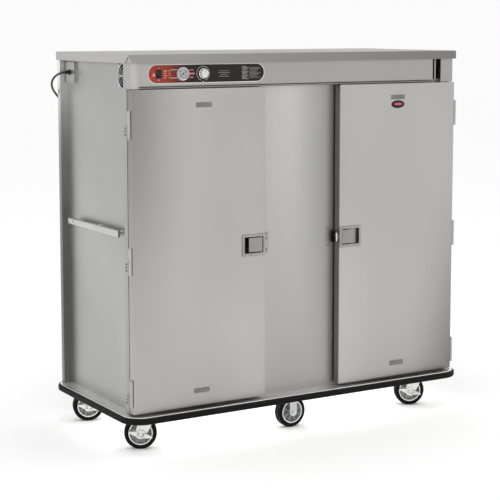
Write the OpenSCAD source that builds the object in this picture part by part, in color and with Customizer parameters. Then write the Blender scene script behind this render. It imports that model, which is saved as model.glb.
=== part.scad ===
// Enclosed heated meal cart on six casters: insulated stainless cabinet with two
// overlay doors, a fixed centre panel, a control fascia and a full bumper.
// Millimetres. Origin on the floor under the middle of the bumper, +Z up, front towards -Y.

/* [Cabinet] */
// Width of the top cover
top_w = 1850; // [1700:10:2000]
// Depth of the top cover
top_d = 802; // [740:2:860]
// Height of the top cover's upper face above the floor
top_z = 1833; // [1800:1:1900]
// Height of the top cover's down-turned lip
top_lip = 41; // [25:1:50]
// Sheet thickness of the outer panels
sheet_t = 1.2; // [0.8:0.1:2]
// How far the cabinet's sides stay inside the top cover
side_inset = 8; // [2:1:15]
// How far the cabinet's back stays inside the top cover
rear_inset = 2; // [1:1:10]
// Depth of the recess in each side wall
side_recess = 38; // [30:1:45]
// Depth of the front corner posts
front_post_d = 25; // [20:1:35]
// Depth of the rear corner posts
rear_post_d = 27; // [20:1:40]
// Thickness of the insulated walls
wall_t = 39; // [34:1:50]
// Height of the deck's upper face
deck_z = 182; // [181:1:186]
// Thickness of the deck plate
deck_t = 3; // [2:0.5:5]
// Depth of the frame channels under the deck
channel_h = 16; // [10:1:18]

/* [Doors] */
// Width of each door
door_w = 702; // [660:1:720]
// Gap between the doors' tops and the fascia's end blocks
door_top_gap = 2; // [1:0.5:6]
// Thickness of each door without its gasket
door_t = 40; // [36:1:45]
// Gap between the deck and the doors
door_gap = 12; // [8:1:20]
// How far a door's outer edge stays inside the cabinet's side
door_inset = 2; // [0:0.5:5]
// Sheet thickness of the door pans
door_sheet = 1.2; // [0.8:0.1:2]
// Uncompressed depth of the door gasket
gasket_t = 10; // [8:0.5:12]
// Width of the door gasket
gasket_w = 22; // [16:1:30]
// How far the gasket stays inside the door's edge
gasket_inset = 14; // [10:1:20]
// Overlap of a door over the frame round its opening
door_overlap = 40; // [38:1:45]

/* [Hinges] */
// Full height of an edge-mount hinge
hinge_h = 127; // [100:1:150]
// Radius of a hinge barrel
hinge_r = 7.5; // [6:0.5:9]
// Radius of a hinge pin
hinge_pin_r = 3; // [2:0.5:4]
// Thickness of a hinge leaf
hinge_leaf_t = 4; // [3:0.5:5]
// Distance from a door's end to the middle of its outer hinges
hinge_end = 125; // [100:5:200]

/* [Latches] */
// Height of the latch centres
latch_z = 930; // [800:5:1100]
// Width of a latch plate
latch_w = 128; // [110:1:140]
// Height of a latch plate
latch_h = 102; // [90:1:120]
// Thickness of a latch plate in front of the door
latch_plate_t = 3; // [2:0.5:4]
// Width of the latch recess
recess_w = 107; // [95:1:108]
// Height of the latch recess
recess_h = 82; // [70:1:88]
// Depth of the latch recess
recess_d = 28; // [24:1:29]
// Width of the latch paddle
paddle_w = 74; // [60:1:78]
// Height of the latch paddle
paddle_h = 68; // [55:1:76]

/* [Fascia] */
// How far the fascia stands behind the doors' front
fascia_set = 20; // [15:1:25]
// Height of the fascia's main panel
fascia_h = 104; // [100:1:108]
// Height of the fascia's end blocks
fascia_end_h = 116; // [112:1:116]
// Width of the left end block
end_left_w = 52; // [40:1:60]
// Width of the right end block
end_right_w = 75; // [60:1:90]
// Width of the air slot beside the right end block
slot_w = 51; // [40:1:60]
// Width of the control overlay
overlay_w = 608; // [560:2:640]
// Height of the control overlay
overlay_h = 81; // [75:1:90]
// Distance from the cabinet's left side to the control overlay
overlay_x = 99; // [80:1:120]
// Thickness of the control overlay
overlay_t = 1; // [0.5:0.5:1.5]
// Radius of the thermometer bezel
gauge_r = 30; // [27:0.5:33]
// Radius of the thermostat knob
knob_r = 24; // [20:0.5:28]
// Height of the thermostat knob
knob_h = 20; // [15:1:26]

/* [Bumper] */
// How far the bumper stands outside the top cover's sides
bumper_side = 33; // [28:1:40]
// How far the bumper stands in front of the top cover
bumper_front = 48; // [44:1:55]
// How far the bumper stands behind the top cover
bumper_rear = 35; // [30:1:45]
// Height of the bumper
bumper_h = 31; // [28:1:34]
// Thickness of the bumper
bumper_t = 24; // [20:1:26]
// Outside radius of the bumper's corners
bumper_r = 104; // [90:1:120]
// Width of the bright retainer rail
rail_w = 14; // [13:0.5:15]

/* [Casters] */
// Radius of the wheels
wheel_r = 76.2; // [74:0.1:77]
// Width of the wheels
wheel_w = 48; // [44:1:50]
// Thickness of the tyre's ring
tyre_t = 19; // [15:0.5:22]
// Radius of the axle bolts
axle_r = 6; // [5:0.5:7]
// Distance from a swivel's axis back to its axle
trail = 50; // [44:1:54]
// Thickness of a fork's legs
fork_t = 5; // [4:0.5:6]
// Gap between a wheel's side and a fork's leg
fork_gap = 4; // [3:0.5:5]
// Distance of the swivels from the top cover's sides
caster_inset = 145; // [140:5:185]
// Distance of the swivels from the top cover's front and back
caster_set = 111; // [109:1:121]
// Distance of the rigid casters left of the middle
rigid_left = 25; // [0:5:60]
// Distance of the rigid casters from the top cover's front and back
rigid_set = 92; // [86:1:111]
// How far all the casters sit in front of the bumper's middle
caster_forward = 12; // [0:1:14]

/* [Push handles] */
// Length of a push handle
handle_l = 552; // [400:2:600]
// Height of a push handle's bar
handle_h = 30; // [24:1:36]
// Thickness of a push handle's bar
handle_t = 13; // [10:1:16]
// Height of the push handles above the floor
handle_z = 1012; // [900:5:1100]

/* [Shelves] */
// Number of shelf levels
shelf_levels = 3; // [2:1:4]
// Height of a shelf's down-turned lips
shelf_lip = 24; // [18:1:32]
// Side of the shelf posts
post_side = 22; // [18:1:28]

/* [Hidden] */
$fn = 48;
run_gap = 0.06;       // radial clearance of a shaft in its bore
fit_gap = 0.3;        // clearance between neighbouring moving faces
eps = 0.01;           // overlap that joins two parts of one piece

// Cabinet planes
bumper_w = top_w + 2*bumper_side;
bumper_d = top_d + bumper_front + bumper_rear;
front_y = -bumper_d/2 + bumper_front;             // front of the doors and of the top's lip
frame_y = front_y + door_t + gasket_t;            // face that the gaskets close on
back_y = front_y + top_d - rear_inset;
side_x = top_w/2 - side_inset;                    // outside of the corner posts
recess_x = side_x - side_recess;                  // outside of the recessed side walls
liner_x = recess_x - wall_t;                      // inside of the cavity
lip_z = top_z - top_lip;
door_z0 = deck_z + door_gap;
door_z1 = lip_z - fascia_end_h - door_top_gap;
door_h = door_z1 - door_z0;
door_x1 = side_x - door_inset;                    // outer edge of a door
door_x0 = door_x1 - door_w;                       // free edge of a door
mullion_x = door_x0 + door_overlap;               // half of the centre panel's width
open_z0 = door_z0 + door_overlap;                 // door openings in the frame
open_z1 = door_z1 - door_overlap;
fascia_y = front_y + fascia_set;
fascia_z = lip_z - 50;                            // height of the controls
fascia_z0 = lip_z - fascia_h;
cavity_z0 = open_z0;
cavity_z1 = open_z1;
cavity_y1 = back_y - wall_t;
header_z = fascia_z0 + 2;                         // top of the sheets behind the fascia's foot
fan_side = 119;                                   // square frame of the control bay's fan
fan_r = 58;
fan_d = 25;
fan_y = front_y + 141;
fan_z = lip_z - 60;
bay_z = fan_z - fan_side/2 - 2.5;                 // floor of the control bay over the cavity
under_top = top_z - sheet_t;                      // underside of the top cover

// Controls, measured along the overlay from its left end
overlay_x0 = -side_x + overlay_x;
switch_x = overlay_x0 + 52;
gauge_x = overlay_x0 + 175;
knob_x = overlay_x0 + 281;
face_y = fascia_y - overlay_t;                    // front of the overlay
switch_w = 22;
switch_h = 34;
switch_wall = 3;
gauge_body_r = 25;
knob_shaft_r = 3;
rocker_tilt = 8;
rocker_y = face_y + 3;                            // axis of the rocker
rocker_pin = 10;                                  // half the length between the pins' bores
rocker_pin_r = 1.5;

caster_x = top_w/2 - caster_inset;
caster_y = top_d/2 - caster_set;
rigid_y = top_d/2 - rigid_set;
// Casters: name, x, y and the angle that the swivel rests at
SWIVELS = [
    ["front_left", -caster_x, -caster_y - caster_forward, -26],
    ["front_right", caster_x, -caster_y - caster_forward, -23],
    ["rear_left", -caster_x, caster_y - caster_forward, -17],
    ["rear_right", caster_x, caster_y - caster_forward, -20]];
RIGIDS = [["front_middle", -rigid_left, -rigid_y - caster_forward, 0],
    ["rear_middle", -rigid_left, rigid_y - caster_forward, 0]];
WHEELS = concat(SWIVELS, RIGIDS);
plate_t = 5;
plate_z = deck_z - deck_t - plate_t;              // underside of the caster plates
crown_t = 6;
crown_z = plate_z - 16;                           // underside of a fork's crown
leg_y = wheel_w/2 + fork_gap;                     // inside of a fork's legs
boss_h = 4;
nut_h = 6;
race_r = 34;
kingpin_r = 8;
lever_t = 6;
brake_tilt = 14;                                  // slope of the brake levers' wings at rest
rim_r = wheel_r - tyre_t;
boss_y = leg_y + fork_t + boss_h;                 // outside of an axle boss
lever_y = boss_y + fit_gap;                       // inside of a brake lever

// Hinges
hinge_x = door_x1 + 1 + hinge_r;
hinge_y = front_y + hinge_r;
hinge_zs = [door_z0 + hinge_end - 30, (door_z0 + door_z1)/2 - 34, door_z1 - hinge_end - 30];

// Latches
latch_x = door_x0 + latch_w/2;                    // middle of a latch plate
pivot_x = door_x0 + 19;                           // pivot of a latch paddle
pivot_y = front_y + 2.5;
pivot_r = 2.5;
paddle_t = 4;
nose_h = 22;                                      // height of the latch nose
nose_reach = 2;                                   // how far the nose passes the door's edge
strike_gap = 2;                                   // air between the nose and the strike's roller
roller_r = 5;

// Cord
cord_d = 10.5;
inlet_y = back_y - 86.5;
inlet_z = lip_z - 58;
inlet_side = 100;
inlet_h = 12;
inlet_bore = 8;
gland_h = 24;
cord_clearance = 0.6;                             // between the cord and its strain relief
coil_r = 58;                                      // middle of the coil's turns
coil_x = -645;
coil_y = 545;
// Points along the free cord, from the strain relief down behind the cart to the coil
CORD_ROUTE = [
    [-893, 319, 1734], [-910, 319, 1734], [-921, 320, 1733.5], [-931, 322, 1731.5],
    [-940, 326, 1728.5], [-948, 331.5, 1724], [-954, 338.5, 1718.5], [-958.5, 346, 1712.5],
    [-961, 354, 1706], [-962, 366, 1696], [-960.5, 379, 1684.5], [-956, 391, 1672],
    [-949, 403, 1659], [-939, 414, 1646], [-926, 424, 1632.5], [-911, 432, 1618], [-894, 440, 1601],
    [-876, 446, 1580], [-857, 451, 1554], [-839, 454, 1520], [-822, 456, 1477], [-810, 457, 1420],
    [-803, 457, 1340], [-800, 457, 1220], [-800, 457, 1060], [-800, 457, 880], [-800, 457, 700],
    [-800, 457, 520], [-800, 457, 360], [-800, 457, 240], [-800, 457, 160], [-799, 458, 100],
    [-796, 461, 64], [-790.5, 464.5, 41], [-781, 468.5, 24], [-768.5, 473, 12.5], [-753, 478, 7],
    [-737, 482.5, 6], [-719, 486.5, 6], [-703, 489.5, 6], [-691, 490.5, 6]];

CORE_NAMES = [for (w = WHEELS) str("core_", w[0])];
TYRE_NAMES = [for (w = WHEELS) str("tyre_", w[0])];
FORK_NAMES = [for (s = SWIVELS) str("fork_", s[0])];
BRAKE_NAMES = [for (s = SWIVELS) str("brake_", s[0])];

// ---------------------------------------------------------------- helpers

// A box given by its two corners
module block(a, b) { translate(a) cube(b - a); }

// A rounded rectangle centred on the origin
module round_rect(w, h, r) {
    square([w - 2*r, h], center = true);
    square([w, h - 2*r], center = true);
    for (x = [-1, 1], y = [-1, 1]) translate([x*(w/2 - r), y*(h/2 - r)]) circle(r);
}

// A sheet bent along straight legs, seen in plan and drawn as a profile
module bent_sheet(path, t) {
    for (i = [0:len(path) - 2]) {
        low = [min(path[i].x, path[i + 1].x), min(path[i].y, path[i + 1].y)];
        high = [max(path[i].x, path[i + 1].x), max(path[i].y, path[i + 1].y)];
        translate(low - [t/2, t/2]) square(high - low + [t, t]);
    }
}

// Sweeps a profile round a rounded rectangle: the profile's x is the distance outwards
// from the centre of a corner, its y is the height
module around(w, d, r) {
    for (a = [0:3]) {
        long = (a % 2 == 0 ? d : w)/2 - r;
        far = (a % 2 == 0 ? w : d)/2 - r;
        rotate([0, 0, 90*a]) {
            translate([far, long, 0]) rotate([90, 0, 0]) linear_extrude(2*long) children();
            translate([far, long, 0]) rotate_extrude(angle = 90) children();
        }
    }
}

// Turns something drawn with its axis along Z so that it points to the front
module to_front() { rotate([90, 0, 0]) children(); }

// Draws the left-hand piece as the right-hand one
module on_right() { mirror([1, 0, 0]) children(); }

// ---------------------------------------------------------------- base

module base_frame() color("silver") {
    skirt = 20;
    inner_w = bumper_w - 2*bumper_t;
    inner_d = bumper_d - 2*bumper_t;
    inner_r = bumper_r - bumper_t;
    difference() {
        translate([0, 0, deck_z - skirt]) linear_extrude(skirt) round_rect(inner_w, inner_d, inner_r);
        translate([0, 0, deck_z - skirt - eps]) linear_extrude(skirt - deck_t + eps)
            round_rect(inner_w - 2*deck_t, inner_d - 2*deck_t, inner_r - deck_t);
    }
    // hat channels that stiffen the deck between the casters
    for (y = [-130, 130]) translate([-side_x + 20, y, deck_z - deck_t])
        rotate([90, 0, 90]) linear_extrude(2*side_x - 40)
            bent_sheet([[-45, -1], [-25, -1], [-25, -channel_h], [25, -channel_h], [25, -1], [45, -1]],
                2);
}

module bumper() color("#1b1b1b") around(bumper_w, bumper_d, bumper_r)
    translate([bumper_r - bumper_t, deck_z - bumper_h]) difference() {
        union() {
            square([bumper_t - 9, bumper_h]);
            translate([0, 9]) square([bumper_t, bumper_h - 18]);
            for (y = [9, bumper_h - 9]) translate([bumper_t - 9, y]) circle(9);
        }
        for (y = [bumper_h/3, 2*bumper_h/3]) translate([bumper_t, y]) circle(1);
    }

module bumper_rail() color("#e6e7e8") difference() {
    around(bumper_w, bumper_d, bumper_r) translate([bumper_r - bumper_t, deck_z]) {
        square([rail_w, 2]);
        translate([rail_w - 2, 1.8]) circle(1.8);
    }
    // notched round the cabinet's rear corners
    block([-side_x - fit_gap, frame_y, deck_z - 1], [side_x + fit_gap, back_y + fit_gap, deck_z + 5]);
}

// ---------------------------------------------------------------- cabinet

// Box section of a corner post in plan, from its outer front corner
module post_section(d) {
    difference() {
        square([side_recess, d]);
        translate([sheet_t, sheet_t]) square([side_recess - 2*sheet_t, d - 2*sheet_t]);
    }
}

module frame_side() {
    post_h = under_top - deck_z;
    translate([-side_x, frame_y, deck_z]) linear_extrude(post_h) post_section(front_post_d);
    translate([-side_x, back_y - sheet_t - rear_post_d, deck_z]) linear_extrude(post_h)
        post_section(rear_post_d);
    // jamb, header and sill round the door opening, with thermal-break returns
    return_d = 30;
    block([-recess_x, frame_y, deck_z], [-liner_x, frame_y + sheet_t, header_z]);
    block([-liner_x - sheet_t, frame_y + sheet_t, open_z0 - sheet_t],
        [-liner_x, frame_y + return_d, open_z1 + sheet_t]);
    block([-liner_x, frame_y, open_z1], [-mullion_x, frame_y + sheet_t, header_z]);
    block([-liner_x, frame_y + sheet_t, open_z1], [-mullion_x, frame_y + return_d, open_z1 + sheet_t]);
    block([-liner_x, frame_y, deck_z], [-mullion_x, frame_y + sheet_t, open_z0]);
    block([-liner_x, frame_y + sheet_t, open_z0 - sheet_t], [-mullion_x, frame_y + return_d, open_z0]);
}

module cabinet_frame() color("#b9bcbe") {
    frame_side();
    on_right() frame_side();
}

module centre_panel() color("#b2b5b7") {
    pan_d = 29;
    translate([0, 0, deck_z]) linear_extrude(bay_z - deck_z) bent_sheet([
        [-mullion_x + sheet_t/2, frame_y + pan_d], [-mullion_x + sheet_t/2, frame_y + sheet_t/2],
        [mullion_x - sheet_t/2, frame_y + sheet_t/2], [mullion_x - sheet_t/2, frame_y + pan_d]],
        sheet_t);
    block([-mullion_x, frame_y, bay_z - 1], [mullion_x, frame_y + sheet_t, header_z]);
}

module side_panels() color("#a9acae") {
    panel_y0 = frame_y + sheet_t;
    panel_y1 = back_y - sheet_t;
    for (s = [-1, 1]) difference() {
        translate([s*(recess_x - sheet_t/2), (panel_y0 + panel_y1)/2, (deck_z + under_top)/2])
            cube([sheet_t, panel_y1 - panel_y0, under_top - deck_z], center = true);
        if (s < 0) {
            translate([-recess_x - 5, fan_y, fan_z]) rotate([0, 90, 0]) cylinder(r = fan_r, h = 10);
            translate([-recess_x - 5, inlet_y, inlet_z]) rotate([0, 90, 0]) cylinder(r = 12, h = 10);
        }
    }
    // inlet box welded on where the cord comes out
    translate([-recess_x, inlet_y, inlet_z]) rotate([0, -90, 0]) difference() {
        translate([0, 0, -eps]) linear_extrude(inlet_h + eps) round_rect(inlet_side, inlet_side, 3);
        translate([0, 0, -1]) linear_extrude(inlet_h - sheet_t + 1)
            round_rect(inlet_side - 2*sheet_t, inlet_side - 2*sheet_t, 2);
        cylinder(r = inlet_bore, h = 30);
    }
}

module back_panel() color("#a9acae") difference() {
    block([-side_x, back_y - sheet_t, deck_z], [side_x, back_y, under_top]);
    // exhaust louvre slots of the control bay
    for (x = [-4:4]) block([x*40 - 14, back_y - 5, lip_z - 60], [x*40 + 14, back_y + 1, lip_z - 56]);
}

module top_cover() color("#b4b7b9") difference() {
    block([-top_w/2, front_y, lip_z], [top_w/2, front_y + top_d, top_z]);
    block([-top_w/2 + sheet_t, front_y + sheet_t, lip_z - 1],
        [top_w/2 - sheet_t, front_y + top_d - sheet_t, under_top]);
}

// Floor of the cavity and of the bay, walls and ceiling, each a separate sheet
module liner() color("#c4c6c8") {
    y0 = frame_y + 30;
    for (s = [-1, 1])
        translate([s*(liner_x + sheet_t/2), (y0 + cavity_y1)/2, (cavity_z0 + cavity_z1)/2])
            cube([sheet_t, cavity_y1 - y0, cavity_z1 - cavity_z0], center = true);
    block([-liner_x, cavity_y1 - sheet_t, cavity_z0], [liner_x, cavity_y1, cavity_z1]);
    difference() {
        block([-liner_x - sheet_t, y0, cavity_z1], [liner_x + sheet_t, cavity_y1, cavity_z1 + sheet_t]);
        // warm-air slots under the blower
        for (x = [-5:5], y = [-100, 100]) block([x*30 - 6, blower_y + y - 50, cavity_z1 - 1],
            [x*30 + 6, blower_y + y + 50, cavity_z1 + 5]);
        translate([blower_x, blower_y, cavity_z1 - 1]) cylinder(r = 38, h = 5);
    }
    block([-liner_x - sheet_t, y0, cavity_z0 - sheet_t], [liner_x + sheet_t, cavity_y1, cavity_z0]);
    difference() {
        block([-recess_x + sheet_t, frame_y + sheet_t, bay_z],
            [recess_x - sheet_t, back_y - sheet_t, bay_z + sheet_t]);
        translate([blower_x, blower_y, bay_z - 1]) cylinder(r = inlet_r, h = 5);
    }
}

// Sealed slabs between the outer panels and the liner
module insulation() color("#e3d9a8") {
    y0 = frame_y + 30;
    slab = 1;                                     // air left on each side of a slab
    for (s = [-1, 1]) translate([s*(liner_x + recess_x)/2, (y0 + cavity_y1)/2, (deck_z + bay_z)/2])
        cube([wall_t - 2*sheet_t - 2*slab + 1, cavity_y1 - y0, bay_z - deck_z - 2*slab], center = true);
    block([-liner_x, cavity_y1 + slab, deck_z + slab],
        [liner_x, back_y - sheet_t - slab + 0.5, bay_z - slab]);
    block([-liner_x, y0, deck_z + 0.5], [liner_x, cavity_y1, cavity_z0 - sheet_t - 0.5]);
    duct = 190;
    for (s = [-1, 1]) block([s < 0 ? -liner_x : duct, y0, cavity_z1 + sheet_t + 0.5],
        [s < 0 ? -duct : liner_x, cavity_y1, bay_z - 0.5]);
}

// ---------------------------------------------------------------- shelves

shelf_y0 = frame_y + 45;
shelf_y1 = cavity_y1 - 10;
shelf_pitch = (cavity_z1 - cavity_z0)/(shelf_levels + 1);
post_ys = [shelf_y0 + 70, shelf_y1 - 70];
tab_z = 20;                                       // foot of a shelf's tabs below its top
seat_gap = 0.1;                                   // play of a tab in its slot

// Slotted post: channel with a ladder of slots in the face that the shelves hook into
module shelf_post(x, y, face) {
    wall = 1.5;
    difference() {
        translate([x - post_side/2, y - post_side/2, cavity_z0])
            cube([post_side, post_side, cavity_z1 - cavity_z0]);
        translate([x - post_side/2 + wall, y - post_side/2 + wall, cavity_z0 - 1])
            cube([post_side - 2*wall, post_side - 2*wall, cavity_z1 - cavity_z0 + 2]);
        for (f = face, n = [1:4*shelf_levels + 3])
            translate([x + f*post_side/2 - 3, y - 3, cavity_z0 + n*shelf_pitch/4 - tab_z - seat_gap])
                cube([6, 6, 16]);
    }
}

// One shelf: pan with four lips, a hem, and a grid of warm-air slots
module shelf(x0, x1, z) {
    difference() {
        block([x0, shelf_y0, z - shelf_lip], [x1, shelf_y1, z]);
        block([x0 + 1.2, shelf_y0 + 1.2, z - shelf_lip - 1], [x1 - 1.2, shelf_y1 - 1.2, z - 1.2]);
        for (n = [0:6], y = [-1, 0, 1])
            translate([(x0 + x1)/2 + (n - 3)*105, (shelf_y0 + shelf_y1)/2 + y*190, z - 3]) {
                block([-8, -60, 0], [8, 60, 6]);
                for (e = [-60, 60]) translate([0, e, 0]) cylinder(r = 8, h = 6);
            }
    }
    for (y = post_ys) {
        block([x0 - 3, y - 2, z - tab_z], [x0 + 0.5, y + 2, z - tab_z + 12]);
        block([x1 - 0.5, y - 2, z - tab_z], [x1 + 3, y + 2, z - tab_z + 12]);
    }
}

module shelves() color("#c9cbcd") {
    for (y = post_ys) {
        shelf_post(-liner_x + post_side/2, y, [1]);
        shelf_post(0, y, [-1, 1]);
        shelf_post(liner_x - post_side/2, y, [-1]);
    }
    for (n = [1:shelf_levels]) {
        z = cavity_z0 + n*shelf_pitch;
        shelf(-liner_x + post_side + fit_gap, -post_side/2 - fit_gap, z);
        shelf(post_side/2 + fit_gap, liner_x - post_side - fit_gap, z);
    }
}

// ---------------------------------------------------------------- fascia and controls

// The end blocks close the fascia over the door posts
module fascia_end(x0, x1) {
    z0 = lip_z - fascia_end_h;
    translate([0, 0, z0]) linear_extrude(under_top - z0) bent_sheet([
        [x0 + sheet_t/2, frame_y - sheet_t/2], [x0 + sheet_t/2, fascia_y + sheet_t/2],
        [x1 - sheet_t/2, fascia_y + sheet_t/2], [x1 - sheet_t/2, frame_y - sheet_t/2]], sheet_t);
    block([x0, fascia_y, z0], [x1, frame_y, z0 + sheet_t]);
}

module control_fascia() color("#b7babc") {
    left = -side_x + end_left_w;
    right = side_x - end_right_w - slot_w;
    fascia_end(-side_x, left);
    fascia_end(side_x - end_right_w, side_x);
    difference() {
        union() {
            block([left - eps, fascia_y, fascia_z0], [right, fascia_y + sheet_t, under_top]);
            block([left, fascia_y, fascia_z0], [right, frame_y, fascia_z0 + sheet_t]);
            for (x = [left, right - sheet_t])
                block([x, fascia_y, fascia_z0], [x + sheet_t, frame_y, under_top]);
        }
        translate([gauge_x, fascia_y + 5, fascia_z]) to_front() cylinder(r = gauge_body_r + 0.5, h = 10);
        translate([knob_x, fascia_y + 5, fascia_z]) to_front() cylinder(r = knob_shaft_r + run_gap, h = 10);
        block([switch_x - switch_w/2, fascia_y - 5, fascia_z - switch_h/2],
            [switch_x + switch_w/2, fascia_y + 5, fascia_z + switch_h/2]);
    }
    // strut in the air slot, from the slot's floor up to the cover
    block([right - eps, fascia_y + 14, fascia_z0], [right + slot_w + eps, frame_y, fascia_z0 + sheet_t]);
    block([right + slot_w/2 - 4, fascia_y + 14, fascia_z0],
        [right + slot_w/2 + 4, fascia_y + 16, under_top]);
    // thermostat behind the panel, round the knob's shaft
    difference() {
        block([knob_x - 22, fascia_y + sheet_t - eps, fascia_z - 22],
            [knob_x + 22, frame_y - 1, fascia_z + 22]);
        translate([knob_x, fascia_y + 26, fascia_z]) to_front()
            cylinder(r = knob_shaft_r + run_gap, h = 30);
    }
}

module control_overlay() color("#8c1d22") translate([overlay_x0 + overlay_w/2, fascia_y, fascia_z])
    to_front() difference() {
        linear_extrude(overlay_t) round_rect(overlay_w, overlay_h, overlay_h/2 - 0.5);
        translate([gauge_x - overlay_x0 - overlay_w/2, 0, -1]) cylinder(r = gauge_body_r + 0.5, h = 5);
        translate([knob_x - overlay_x0 - overlay_w/2, 0, -1]) cylinder(r = knob_shaft_r + run_gap, h = 5);
        translate([switch_x - overlay_x0 - overlay_w/2, 0, 0])
            cube([switch_w, switch_h, 5], center = true);
    }

module switch_frame() translate([switch_x, face_y, fascia_z]) {
    bezel = 3;
    difference() {
        union() {
            to_front() linear_extrude(3) round_rect(switch_w + 2*bezel, switch_h + 2*bezel, 3);
            block([-switch_w/2 + 0.2, 0, -switch_h/2 + 0.2], [switch_w/2 - 0.2, 22, switch_h/2 - 0.2]);
        }
        block([-switch_w/2 + switch_wall, -8, -switch_h/2 + switch_wall],
            [switch_w/2 - switch_wall, 16, switch_h/2 - switch_wall]);
        translate([-rocker_pin, rocker_y - face_y, 0]) rotate([0, 90, 0])
            cylinder(r = rocker_pin_r + run_gap, h = 2*rocker_pin);
    }
}

// Rocker with a shallow V of two finger faces, tilted to its off side at rest
module switch_rocker() color("#222222") translate([switch_x, rocker_y, fascia_z])
    rotate([-rocker_tilt, 0, 0]) {
        half_w = switch_w/2 - switch_wall - fit_gap;
        half_h = switch_h/2 - switch_wall - 1.6;
        translate([-half_w, 0, 0]) rotate([90, 0, 90]) linear_extrude(2*half_w) polygon([
            [-7.5, -half_h], [-5.5, 0], [-7.5, half_h], [0, half_h], [5, 4], [5, -4], [0, -half_h]]);
        translate([-rocker_pin + fit_gap, 0, 0]) rotate([0, 90, 0])
            cylinder(r = rocker_pin_r, h = 2*(rocker_pin - fit_gap));
    }

module thermometer_case() translate([gauge_x, face_y, fascia_z]) {
    to_front() difference() {
        union() {
            cylinder(r = gauge_r, h = 8);
            cylinder(r1 = gauge_r + 1.5, r2 = gauge_r + 0.5, h = 3);
            translate([0, 0, -34]) cylinder(r = gauge_body_r, h = 35);
        }
        translate([0, 0, 3]) cylinder(r = gauge_r - 4, h = 10);
        translate([0, 0, -20]) cylinder(r = 1.5 + run_gap, h = 40);
    }
}

module panel_fittings() color("#2a2a2a") {
    switch_frame();
    thermometer_case();
}

needle_l = 19;
module thermometer_needle() color("#b01818") translate([gauge_x, face_y - 3 - fit_gap, fascia_z])
    to_front() rotate([0, 0, 215]) {
        translate([0, 0, 0.4]) linear_extrude(0.8)
            polygon([[-8, -1.6], [-8, 1.6], [0, 1.4], [needle_l, 0.3], [needle_l, -0.3], [0, -1.4]]);
        cylinder(r = 3.2, h = 1.8);
        translate([0, 0, -12]) cylinder(r = 1.5, h = 12.5);
    }

// Knob with a flange, a scalloped grip and a raised pointer in its dished top
module thermostat_knob() color("#d5d7d8") translate([knob_x, face_y - 1, fascia_z]) to_front() {
    grip_r = knob_r - 3.5;
    dish_r = knob_r - 9;
    cylinder(r = knob_r, h = 5);
    linear_extrude(knob_h - 1) difference() {
        circle(grip_r);
        for (a = [0:30:330]) rotate(a) translate([grip_r + 2.5, 0]) circle(4);
    }
    difference() {
        translate([0, 0, knob_h - 2]) cylinder(r = dish_r + 2, h = 2);
        translate([0, 0, knob_h - 1]) cylinder(r = dish_r, h = 2);
    }
    translate([-1, 2, knob_h - 2]) cube([2, dish_r - 3, 1.8]);
    translate([0, 0, -24]) cylinder(r = knob_shaft_r, h = 24 + eps);
}

// ---------------------------------------------------------------- outside fittings

handle_y = (front_y + back_y)/2 + 6;                         // middle of the push handles
module handle_side() {
    bar_x = -top_w/2;
    back_x = bar_x + handle_t;
    translate([bar_x, handle_y + handle_l/2, handle_z]) rotate([90, 0, 0]) linear_extrude(handle_l) {
        translate([handle_t/2, 0]) square([handle_t, handle_h - 8], center = true);
        translate([handle_t/2 + 2, 0]) square([handle_t - 4, handle_h], center = true);
        for (z = [-1, 1]) translate([4, z*(handle_h/2 - 4)]) circle(4);
    }
    for (y = [-1, 0, 1]) translate([back_x, handle_y + y*(handle_l/2 - 40), handle_z])
        rotate([0, 90, 0]) cylinder(r1 = 10, r2 = 13, h = -recess_x - back_x);
}

module push_handles() color("#dfe1e2") {
    handle_side();
    on_right() handle_side();
}

// Finger guard over the fan's hole: rings on two straps, with four screwed ears
module fan_guard() translate([-recess_x, fan_y, fan_z]) rotate([0, -90, 0]) {
    for (r = [14:14:56]) rotate_extrude() translate([r, 3]) circle(1.1);
    for (a = [0, 90]) rotate(a) translate([-56, -2.5, 1]) cube([112, 5, 1.3]);
    for (a = [45:90:315]) rotate(a) {
        translate([54, -4.5, 0]) cube([24, 9, 2.2]);
        translate([74.2, 0, 2]) cylinder(r1 = 4.4, r2 = 3, h = 2.4);
    }
}

// Fan of the control bay behind the left wall: duct, struts and motor seat
module fan_duct() translate([-recess_x + sheet_t, fan_y, fan_z]) rotate([0, 90, 0]) {
    seat = fan_d - 3;
    difference() {
        linear_extrude(fan_d) round_rect(fan_side, fan_side, 6);
        translate([0, 0, -1]) cylinder(r = fan_r - 1, h = fan_d + 2);
    }
    difference() {
        union() {
            translate([0, 0, seat]) cylinder(r = 20, h = 3);
            for (a = [45:90:315]) rotate(a) translate([18, -2.5, seat]) cube([fan_r - 18, 5, 3]);
        }
        translate([0, 0, seat - 1]) cylinder(r = 3 + run_gap, h = 5);
    }
}

module fan_frame() color("#1c1c1c") {
    fan_duct();
    fan_guard();
}

module fan_rotor() color("#232323") translate([-recess_x + sheet_t, fan_y, fan_z]) rotate([0, 90, 0]) {
    translate([0, 0, 2]) cylinder(r = 19, h = fan_d - 5.5);
    cylinder(r = 3, h = fan_d - 0.5);
    for (i = [0:6]) rotate([0, 0, i*360/7]) translate([18, 0, fan_d/2 - 0.5]) rotate([50, 0, 0])
        translate([0, -0.9, -11]) cube([fan_r - 22, 1.8, 22]);
}

// Roller strike on the centre panel beside a door's free edge: bracket, then pin and roller
roller_x = -door_x0 + nose_reach + strike_gap + roller_r;
roller_y = front_y + 11;
module strike() {
    block([roller_x - 7, frame_y - 3, latch_z - 30], [roller_x + 10, frame_y, latch_z + 30]);
    for (z = [latch_z - 26, latch_z + 22]) difference() {
        union() {
            block([roller_x - roller_r, roller_y, z], [roller_x + roller_r, frame_y - 3, z + 4]);
            translate([roller_x, roller_y, z]) cylinder(r = roller_r, h = 4);
        }
        translate([roller_x, roller_y, z - 1]) cylinder(r = 2, h = 6);
    }
}

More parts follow.
